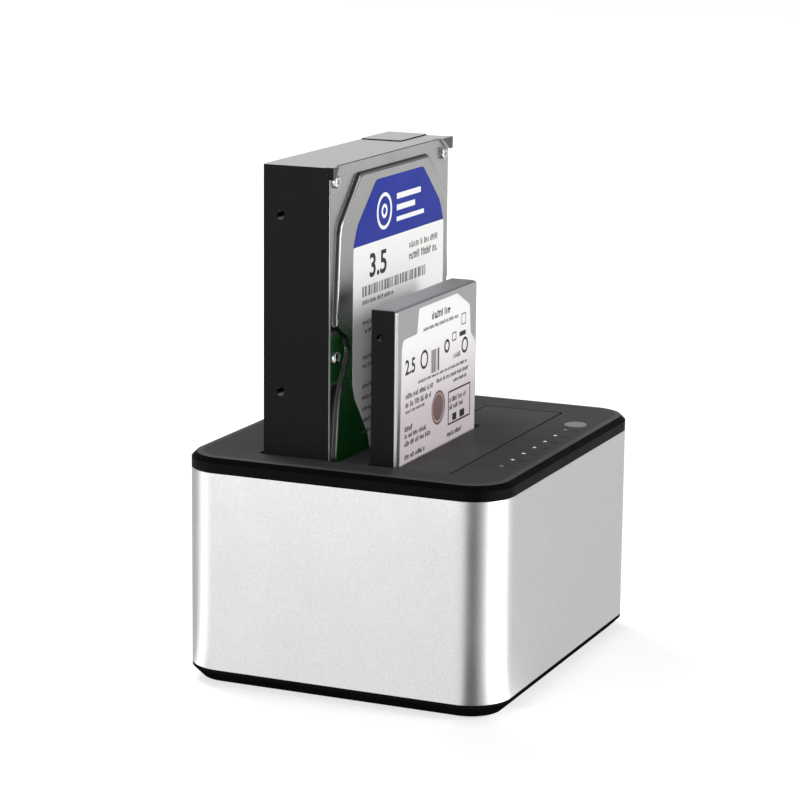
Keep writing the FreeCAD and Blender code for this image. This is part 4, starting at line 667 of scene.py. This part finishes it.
def smoothed(node_name, body, angle):
    """A CAD node's solid with one smooth skin over its rolled walls and level flats."""
    source = frame["nodes"][node_name]
    finer = copied(source, node_name + "_skin", Vector((0, 0, 0)))
    open_edit(finer, "VERT")
    bpy.ops.mesh.select_all(action="SELECT")
    bpy.ops.mesh.remove_doubles(threshold=0.002 * MM)
    close_edit()
    only(finer)
    bpy.ops.mesh.customdata_custom_splitnormals_clear()
    bpy.ops.object.shade_smooth_by_angle(angle=math.radians(angle))
    level = finer.modifiers.new("level", "WEIGHTED_NORMAL")
    level.keep_sharp = True
    bpy.ops.object.modifier_apply(modifier=level.name)
    fitted(finer, source.data.materials[0], body)
    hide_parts(node_name)
    return finer


# ================================================================ screws
def recessed_screw(name, radius, height):
    """A pan-head screw looking up +Z: rounded rim and a tapered cross recess."""
    top_ring, slack = radius * 0.62, radius * 0.05
    head = round_bar(name, (0, 0, height / 2), radius, height, 32)
    open_edit(head, "EDGE")
    pick_edges(head, lambda p: p.z > height * 0.99)
    bpy.ops.mesh.bevel(offset=height * 0.45, segments=4, profile=0.5)
    bpy.ops.mesh.select_mode(type="FACE")
    pick_faces(head, lambda c, n: n.z > 0.99 and c.z > height * 0.9)
    bpy.ops.mesh.inset(thickness=radius * 0.12)
    bpy.ops.mesh.select_mode(type="VERT")
    pick_points(head, lambda p: p.z > height * 0.99 and p.xy.length < top_ring + slack
                and abs(math.sin(2 * math.atan2(p.y, p.x))) > 0.5)
    bpy.ops.transform.resize(value=(0.42, 0.42, 1), center_override=(0, 0, height))
    bpy.ops.mesh.select_mode(type="FACE")
    pick_faces(head, lambda c, n: n.z > 0.99 and c.z > height * 0.99 and c.xy.length < slack)
    bpy.ops.mesh.extrude_region_move(TRANSFORM_OT_translate={"value": (0, 0, -height * 0.55)})
    bpy.ops.transform.resize(value=(0.7, 0.7, 1), center_override=(0, 0, 0))
    close_edit()
    only(head)
    bpy.ops.object.shade_smooth_by_angle(angle=math.radians(35))
    return head


def separate_boxes(node_name, count):
    """The box of each separate solid in one node, from below upwards and left to right."""
    obj = frame["nodes"][node_name]
    mesh = bmesh.new()
    mesh.from_mesh(obj.data)
    bmesh.ops.remove_doubles(mesh, verts=mesh.verts, dist=1e-6)
    seen, boxes = set(), []
    for start in mesh.verts:
        if start in seen:
            continue
        stack, members = [start], []
        seen.add(start)
        while stack:
            here = stack.pop()
            members.append(here.co.copy())
            for edge in here.link_edges:
                other = edge.other_vert(here)
                if other not in seen:
                    seen.add(other)
                    stack.append(other)
        low = Vector(tuple(min(p[i] for p in members) for i in range(3)))
        high = Vector(tuple(max(p[i] for p in members) for i in range(3)))
        boxes.append((low, high))
    mesh.free()
    assert len(boxes) == count, (node_name, len(boxes))
    return sorted(boxes, key=lambda b: (round(b[0].z, 4), round(b[0].x, 4)))


def driven_screws(node_name, count, height, looks, body):
    """Recessed screws in place of one node's plain ones; looks is -1 where they face the front."""
    boxes = separate_boxes(node_name, count)
    radius = (boxes[0][1].x - boxes[0][0].x) / 2
    model = recessed_screw(node_name + "_0", radius, height)
    turn = Matrix.Rotation(math.radians(-90 * looks), 4, "X")
    spin = random.Random(4)
    for i, (low, high) in enumerate(boxes):
        seat = low.y + height if looks < 0 else high.y - height
        centre = Vector(((low.x + high.x) / 2, seat, (low.z + high.z) / 2))
        driven = Matrix.Rotation(spin.uniform(0, 1.5), 4, "Z")
        copy = copied(model, f"{node_name}_{i + 1}", centre, turn @ driven)
        fitted(copy, FINISHES["steel"], body)
        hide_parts(node_name)
    bpy.data.objects.remove(model)


# ================================================================ printed sheets
def print_marks(name, marks, depth_at, ink, body):
    """Flat printed marks that face the front; each is (x0, x1, z0, z1)."""
    x0, x1, z0, z1 = marks[0]
    obj = slab(name, (x0, depth_at - PRINT_DEPTH, z0), (x1, depth_at + PRINT_DEPTH, z1))
    open_edit(obj)
    for x0, x1, z0, z1 in marks[1:]:
        bpy.ops.mesh.primitive_cube_add(size=1, location=((x0 + x1) / 2, depth_at, (z0 + z1) / 2),
                                        scale=(x1 - x0, 2 * PRINT_DEPTH, z1 - z0))
    close_edit()
    return fitted(obj, ink, body)


def word_row(rng, x0, x1, z, height):
    """Strokes grouped as words between two places: what small print looks like, saying nothing."""
    marks, x, stroke = [], x0, height * 0.24
    while x < x1 - height:
        for _ in range(rng.randint(2, 8)):
            if x > x1 - stroke:
                break
            tall = rng.choice((1.0, 0.75, 0.75))
            marks.append((x, x + stroke, z - height, z - height * (1 - tall)))
            if rng.random() < 0.55:
                level = rng.choice((0.0, 0.42, 0.62)) * height
                foot = z - height + level
                marks.append((x + stroke, x + stroke * 2.1, foot, foot + stroke * 0.8))
            x += height * rng.choice((0.42, 0.52))
        x += height * 0.5
    return marks


def stripe_row(rng, x0, x1, z, height):
    """Upright stripes of several widths between two places."""
    marks, x = [], x0
    while x < x1:
        width = rng.choice((0.35, 0.35, 0.7, 1.05)) * MM
        marks.append((x, x + width, z - height, z))
        x += width + rng.choice((0.35, 0.35, 0.7, 1.0)) * MM
    return marks


def outline_box(x0, x1, z0, z1, line):
    """The four sides of an upright frame, as marks."""
    return [(x0, x1, z0, z0 + line), (x0, x1, z1 - line, z1),
            (x0, x0 + line, z0, z1), (x1 - line, x1, z0, z1)]


def numeral(name, text, centre, height, ink, body, turn=(90, 0, 0), stretch=1.0, weight=0.0):
    """Plain figures as a thin solid; centre is the middle of the figures."""
    bpy.ops.object.select_all(action="DESELECT")
    bpy.ops.object.text_add(location=(0, 0, 0))
    obj = bpy.context.active_object
    obj.data.body = text
    obj.data.size = height * FIGURE_SIZE
    obj.data.align_x, obj.data.align_y = "CENTER", "CENTER"
    obj.data.extrude = PRINT_DEPTH
    obj.data.offset = weight
    obj.data.resolution_u = 6
    bpy.ops.object.convert(target="MESH")
    obj = named(name)
    obj.scale = (stretch, 1, 1)
    obj.rotation_euler = [math.radians(a) for a in turn]
    obj.location = centre
    set_place(obj)
    return fitted(obj, ink, body)


def ring(name, centre, radius, line, ink, body):
    """A flat printed ring that faces the front."""
    obj = round_bar(name, centre, radius, PRINT_DEPTH * 2, 48, (math.radians(90), 0, 0))
    open_edit(obj)
    pick_faces(obj, lambda c, n: abs(n.y) > 0.9)
    bpy.ops.mesh.inset(thickness=line)
    bpy.ops.mesh.delete(type="FACE")
    pick_edges(obj, lambda p: (p - Vector(centre)).length < radius - line * 0.5)
    bpy.ops.mesh.bridge_edge_loops()
    bpy.ops.mesh.select_all(action="SELECT")
    bpy.ops.mesh.normals_make_consistent(inside=False)
    close_edit()
    return fitted(obj, ink, body)


def large_label_print():
    """Print on the 3.5 inch drive's label: a bare blue field and generic marks on white."""
    low = LARGE_LABEL[0]
    rng = random.Random(11)
    y, left, top = low.y, low.x, BLUE_FROM
    numeral("large_label_figures", "3.5", Vector((left + 20.5 * MM, y, top - 8.2 * MM)), 8.2 * MM, INK_BLACK,
            "large_drive", stretch=1.12, weight=0.22 * MM)
    marks = stripe_row(rng, left + 7.5 * MM, left + 62.3 * MM, top - 14.2 * MM, 3.6 * MM)
    marks += word_row(rng, left + 7.5 * MM, left + 34 * MM, top - 18.9 * MM, 1.6 * MM)
    print_marks("large_label_stripes", marks, y, INK_GREY, "large_drive")
    marks = word_row(rng, left + 47.3 * MM, left + 72.7 * MM, top - 4.0 * MM, 2.3 * MM)
    marks += word_row(rng, left + 47.3 * MM, left + 72.7 * MM, top - 7.7 * MM, 2.8 * MM)
    for drop, x0, x1 in ((26, 8, 30), (29, 10, 34), (38, 8, 26), (41, 8, 40), (48, 8, 28), (52, 8, 20),
                         (56, 8, 44), (60, 8, 36), (64, 8, 30), (72, 16, 52), (76, 16, 40), (80, 18, 56)):
        marks += word_row(rng, left + x0 * MM, left + x1 * MM, top - drop * MM, 1.5 * MM)
    print_marks("large_label_rows", marks, y, INK_GREY, "large_drive")
    centre = Vector((left + 25.5 * MM, y, top + 9.6 * MM))
    ring("large_label_ring", centre, 6.4 * MM, 1.3 * MM, INK_WHITE, "large_drive")
    ring("large_label_hub", centre, 2.5 * MM, 1.2 * MM, INK_WHITE, "large_drive")
    marks = [(left + 36 * MM, left + 57 * MM, top + 12.4 * MM, top + 14.4 * MM),
             (left + 36 * MM, left + 52 * MM, top + 8.4 * MM, top + 10.4 * MM),
             (left + 36 * MM, left + 60 * MM, top + 4.6 * MM, top + 6.2 * MM)]
    print_marks("large_label_bars", marks, y, INK_WHITE, "large_drive")


def small_label_print():
    """Print on the 2.5 inch drive's label: rows of strokes, plain boxes, stripes and rings.

    Rows are (drop from the top in mm, start and end as shares of the width, stroke height in mm).
    """
    low, high = SMALL_LABEL
    rng = random.Random(23)
    y, left, wide, top = low.y, low.x, high.x - low.x, high.z

    def across(share):
        return left + share * wide

    marks = []
    rows = ((3.0, 0.40, 0.64, 2.6), (7.2, 0.29, 0.75, 1.3), (24.6, 0.23, 0.90, 1.1),
            (27.0, 0.47, 0.90, 1.4), (29.6, 0.70, 0.88, 1.2), (27.4, 0.07, 0.42, 1.8),
            (30.2, 0.07, 0.42, 2.0), (33.0, 0.07, 0.34, 1.2), (38.3, 0.06, 0.19, 2.0),
            (41.0, 0.06, 0.35, 1.7), (43.6, 0.06, 0.40, 1.7), (48.2, 0.06, 0.33, 1.7),
            (51.0, 0.06, 0.30, 1.6), (47.6, 0.62, 0.81, 1.8), (35.8, 0.65, 0.90, 1.7),
            (38.4, 0.65, 0.86, 1.7), (20.6, 0.70, 0.79, 1.8))
    for drop, x0, x1, height in rows:
        marks += word_row(rng, across(x0), across(x1), top - drop * MM, height * MM)
    marks += outline_box(across(0.63), across(0.935), top - 45.4 * MM, top - 33.4 * MM, 0.6 * MM)
    marks += outline_box(across(0.675), across(0.73), top - 16.2 * MM, top - 13.2 * MM, 0.4 * MM)
    marks += outline_box(across(0.80), across(0.86), top - 11.8 * MM, top - 7.8 * MM, 0.35 * MM)
    marks += [(across(0.69), across(0.745), top - 44.4 * MM, top - 41.9 * MM),
              (across(0.79), across(0.855), top - 44.4 * MM, top - 41.9 * MM),
              (across(0.775), across(0.86), top - 15.6 * MM, top - 14.0 * MM)]
    marks += stripe_row(rng, across(0.395), across(0.49), top - 16.2 * MM, 8.0 * MM)
    print_marks("small_label_rows", marks, y, INK_BLACK, "small_drive")
    numeral("small_label_figures", "2.5", Vector((across(0.125), y, top - 18.7 * MM)), 5.2 * MM, INK_BLACK,
            "small_drive", weight=0.14 * MM)
    for i, (share, drop, radius) in enumerate(((0.305, 18.2, 3.3), (0.605, 17.0, 2.4), (0.85, 19.3, 2.9))):
        ring(f"small_label_ring_{i + 1}", Vector((across(share), y, top - drop * MM)), radius * MM,
             0.95 * MM, INK_BLACK, "small_drive")


def lamp_numbers():
    """Plain numbers beside the lamps on the deck, one to seven."""
    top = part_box("top_deck")[1].z
    for i in range(7):
        place = Vector((LAMP_FIRST + i * LAMP_PITCH + NUMBER_ASIDE, LAMP_LINE - NUMBER_AHEAD, top))
        numeral(f"lamp_number_{i + 1}", str(i + 1), place, 2.5 * MM, INK_DECK, "housing", turn=(0, 0, 0),
                weight=0.12 * MM)


def rocker_marks():
    """A ring on the rocker's level wing and a bar on its raised one."""
    low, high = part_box("power_switch")
    axis = Vector(((low.x + high.x) / 2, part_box("aluminium_sleeve")[1].y - 2.8 * MM, (low.z + high.z) / 2))
    ring("rocker_off_mark", axis + Vector((-3.1, 1.29, 0)) * MM, 1.1 * MM, 0.32 * MM, INK_WHITE,
         "power_rocker")
    bar = slab("rocker_on_mark", (-0.17 * MM, -PRINT_DEPTH, -1.1 * MM),
               (0.17 * MM, PRINT_DEPTH, 1.1 * MM))
    wing = Matrix.Rotation(math.radians(16), 4, "Z")
    bar.data.transform(Matrix.Translation(axis + Vector((2.7, 2.11, 0)) * MM) @ wing)
    fitted(bar, INK_WHITE, "power_rocker")


# ================================================================ connectors
def usb_contacts():
    """Four gold leaves on the tongue of the square port, two above and two below."""
    low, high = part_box("usb_insert")
    middle, end = (low + high) / 2, high.y - 1.1 * MM
    leaves = []
    for side in (-1, 1):
        for across in (-1.25 * MM, 1.25 * MM):
            z, x = middle.z + side * 1.6 * MM, middle.x + across
            leaves.append(slab(f"usb_contact_{len(leaves) + 1}", (x - 0.5 * MM, end - 7 * MM, z - 0.06 * MM),
                               (x + 0.5 * MM, end, z + 0.06 * MM)))
    fitted(joined("usb_contacts", leaves), FINISHES["contact_brass"], "housing")


def board_parts(node_name, below_chips, height, body, seed, zones):
    """Small resistors and capacitors in rows on a drive's board; zones are its free fields in mm.

    Zones run from the drive's middle across and from its connector end upwards.
    """
    low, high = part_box(node_name)
    middle, foot, face = (low.x + high.x) / 2, low.z - 2.0 * MM, high.y - below_chips
    rng = random.Random(seed)
    kinds = {"tan": [], "dark": []}
    for u0, u1, v0, v1 in zones:
        for v in range(v0, v1, PART_STEP):
            for u in range(u0, u1, PART_STEP):
                if rng.random() < 0.35:
                    continue
                long, wide = rng.choice(PART_SIZES)
                if rng.random() < 0.4:
                    long, wide = wide, long
                x, z = middle + u * MM, foot + v * MM
                kind = rng.choice(("tan", "dark"))
                part = slab("part", (x - long / 2 * MM, face - 0.05 * MM, z - wide / 2 * MM),
                            (x + long / 2 * MM, face + height * rng.choice((0.6, 1.0)), z + wide / 2 * MM))
                kinds[kind].append(part)
    fitted(joined(node_name + "_ceramics", kinds["tan"]), PART_TAN, body)
    fitted(joined(node_name + "_resistors", kinds["dark"]), PART_DARK, body)


def plug_contacts(node_name, body, label):
    """Gold strips on the two tongues of a drive's plug: seven signal and fifteen power."""
    low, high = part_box(node_name)
    middle = (low + high) / 2
    strip = slab(label + "_strip", (-CONTACT_WIDTH / 2, -0.05 * MM, 0),
                 (CONTACT_WIDTH / 2, 0.05 * MM, 5.2 * MM))
    open_edit(strip)
    pick_faces(strip, lambda c, n: n.z < -0.9)
    bpy.ops.transform.resize(value=(0.6, 0.5, 1), center_override=(0, 0, 0))
    close_edit()
    total = SIGNAL_TONGUE + TONGUE_GAP + POWER_TONGUE
    starts = [middle.x + (-total / 2 + 1.55) * MM,
              middle.x + (-total / 2 + SIGNAL_TONGUE + TONGUE_GAP + 1.4) * MM]
    pieces = []
    for start, count in zip(starts, (7, 15)):
        for i in range(count):
            place = Vector((start + i * CONTACT_PITCH, middle.y + 0.66 * MM, low.z + 0.9 * MM))
            pieces.append(copied(strip, f"{label}_{len(pieces) + 1}", place))
    bpy.data.objects.remove(strip)
    fitted(joined(label, pieces), FINISHES["contact_brass"], body)


# ================================================================ stage
def studio():
    """Pale floor and a plain world that shows white behind the object."""
    bpy.ops.object.select_all(action="DESELECT")
    bpy.ops.mesh.primitive_plane_add(size=2 * FLOOR_HALF, location=(0, 0, 0))
    floor = named("studio_floor")
    paper = bpy.data.materials.new("floor_paper")
    paper.use_nodes = True
    tree = paper.node_tree
    shader = tree.nodes["Principled BSDF"]
    shader.inputs["Base Color"].default_value = grey(FLOOR_WHITE)
    shader.inputs["Roughness"].default_value = 0.9
    rays = node(tree, "LightPath")
    seen = maths(tree, "MAXIMUM", rays.outputs["Is Camera Ray"], rays.outputs["Is Glossy Ray"])
    seen = maths(tree, "MAXIMUM", seen, rays.outputs["Is Transmission Ray"])
    shader.inputs["Emission Color"].default_value = grey(1.0)
    away = node(tree, "VectorMath", {"operation": "LENGTH"}, i0=own_place(tree)).outputs["Value"]
    glow = spread(tree, away, GLOW_NEAR, GLOW_FAR, FLOOR_GLOW, 1.0)
    tree.links.new(maths(tree, "MULTIPLY", seen, glow), shader.inputs["Emission Strength"])
    floor.data.materials.append(paper)

    world = bpy.data.worlds.new("studio_world")
    bpy.context.scene.world = world
    world.use_nodes = True
    tree = world.node_tree
    background = tree.nodes["Background"]
    rays = node(tree, "LightPath")
    seen = maths(tree, "MAXIMUM", rays.outputs["Is Camera Ray"], rays.outputs["Is Transmission Ray"])
    tree.links.new(spread(tree, seen, 0.0, 1.0, AMBIENT, 1.0), background.inputs["Strength"])
    background.inputs["Color"].default_value = grey(1.0)


def soft_lamp(name, place, aim, size, power, in_reflections=True):
    bpy.ops.object.light_add(type="AREA", location=place)
    lamp = bpy.context.active_object
    lamp.name = name
    lamp.data.shape, lamp.data.size, lamp.data.size_y = "RECTANGLE", size[0], size[1]
    lamp.data.energy = power
    lamp.visible_glossy = in_reflections
    lamp.rotation_mode = "QUATERNION"
    lamp.rotation_quaternion = (Vector(aim) - Vector(place)).to_track_quat("-Z", "Y")


def reflection_sheet(side, front, rear):
    """A sheet on the floor that only reflections see, brighter or darker by direction.

    It stands for the cards set round the object: a dark slot where the camera looks in, bright ones
    at the front and at the rear left, and plain white at the left. Angles go round the centres of the
    housing's left corners, which lie at side across, and at front and rear along.
    """
    bpy.ops.object.select_all(action="DESELECT")
    bpy.ops.mesh.primitive_circle_add(vertices=64, radius=SHEET_RADIUS, fill_type="NGON",
                                      location=(0, 0, SHEET_LIFT))
    sheet = set_place(named("reflection_sheet"))
    cards = bpy.data.materials.new("reflection_cards")
    cards.use_nodes = True
    tree = cards.node_tree
    shader = tree.nodes["Principled BSDF"]
    shader.inputs["Base Color"].default_value = grey(0.0)
    shader.inputs["Specular IOR Level"].default_value = 0.0
    shader.inputs["Emission Color"].default_value = grey(1.0)
    place = node(tree, "SeparateXYZ", None, Vector=own_place(tree))
    beside = maths(tree, "MINIMUM", maths(tree, "MAXIMUM", place.outputs["Y"], front), rear)
    ahead = maths(tree, "SUBTRACT", beside, place.outputs["Y"])
    aside = maths(tree, "SUBTRACT", side, place.outputs["X"])
    turn = spread(tree, maths(tree, "ARCTAN2", ahead, aside), -math.pi, math.pi)
    ramp = node(tree, "ValToRGB", None, Fac=turn)
    stops = ramp.color_ramp.elements
    stops[0].position, stops[0].color = 0.0, grey(CARDS[0][1] / CARD_PEAK)
    stops[1].position, stops[1].color = 1.0, grey(CARDS[-1][1] / CARD_PEAK)
    for angle, level in CARDS[1:-1]:
        stops.new(angle / 360 + 0.5).color = grey(level / CARD_PEAK)
    strength = maths(tree, "MULTIPLY", ramp.outputs["Color"], CARD_PEAK)
    tree.links.new(strength, shader.inputs["Emission Strength"])
    sheet.data.materials.append(cards)
    sheet.visible_camera = sheet.visible_diffuse = sheet.visible_shadow = sheet.visible_transmission = False


def view_camera():
    """Camera at the object's usual three-quarter view, seen mostly from its left side."""
    a, e, roll = (math.radians(v) for v in (VIEW_AZIMUTH, VIEW_ELEVATION, VIEW_ROLL))
    back = Vector((math.sin(a) * math.cos(e), -math.cos(a) * math.cos(e), math.sin(e)))
    right = Vector((0, 0, 1)).cross(back).normalized()
    up = back.cross(right)
    level, lifted = right * math.cos(roll) + up * math.sin(roll), up * math.cos(roll) - right * math.sin(roll)
    data = bpy.data.cameras.new("camera")
    data.angle = math.radians(VIEW_FIELD)
    camera = bpy.data.objects.new("camera", data)
    bpy.context.scene.collection.objects.link(camera)
    turn = Matrix((level, lifted, back)).transposed().to_4x4()
    camera.matrix_world = Matrix.Translation(VIEW_CENTRE + back * VIEW_DISTANCE) @ turn
    bpy.context.scene.camera = camera


finish_solids()
smoothed("large_drive_lid", "large_drive", 50)
driven_screws("large_lid_screws", 6, 1.5 * MM, -1, "large_drive")
driven_screws("large_board_screws", 4, 0.9 * MM, 1, "large_drive")
large_label_print()
small_label_print()
lamp_numbers()
rocker_marks()
usb_contacts()
board_parts("large_drive_board", 1.8 * MM, 0.7 * MM, "large_drive", 31, (
    (26, 44, 36, 66), (-44, -40, 22, 80), (-13, 11, 12, 44), (-34, -22, 70, 84), (30, 44, 10, 15)))
board_parts("small_drive_board", 0.85 * MM, 0.45 * MM, "small_drive", 32, (
    (-10, 9, 12, 36), (22, 31, 12, 48), (-31, -16, 12, 26)))
plug_contacts("large_drive_plug", "large_drive", "large_plug_contacts")
plug_contacts("small_drive_plug", "small_drive", "small_plug_contacts")
studio()
soft_lamp("left_softbox", (-1.15, 0.5, 0.38), (0, 0, 0.07), (0.9, 0.8), 7.0)
soft_lamp("front_softbox", (0.0, -1.3, 0.42), (0, 0, 0.08), (0.5, 1.2), 14.0)
soft_lamp("fill_softbox", (-1.0, -0.42, 0.34), (0, 0, 0.1), (0.35, 0.35), 4.0, in_reflections=False)
soft_lamp("top_softbox", (0.4, 0.62, 0.95), (0, 0, 0.09), (0.5, 0.5), 11.0, in_reflections=False)
reflection_sheet(solid_box[0][0] + CORNER, solid_box[0][1] + CORNER, solid_box[1][1] - CORNER)
view_camera()
bpy.context.scene.view_settings.view_transform = "Standard"
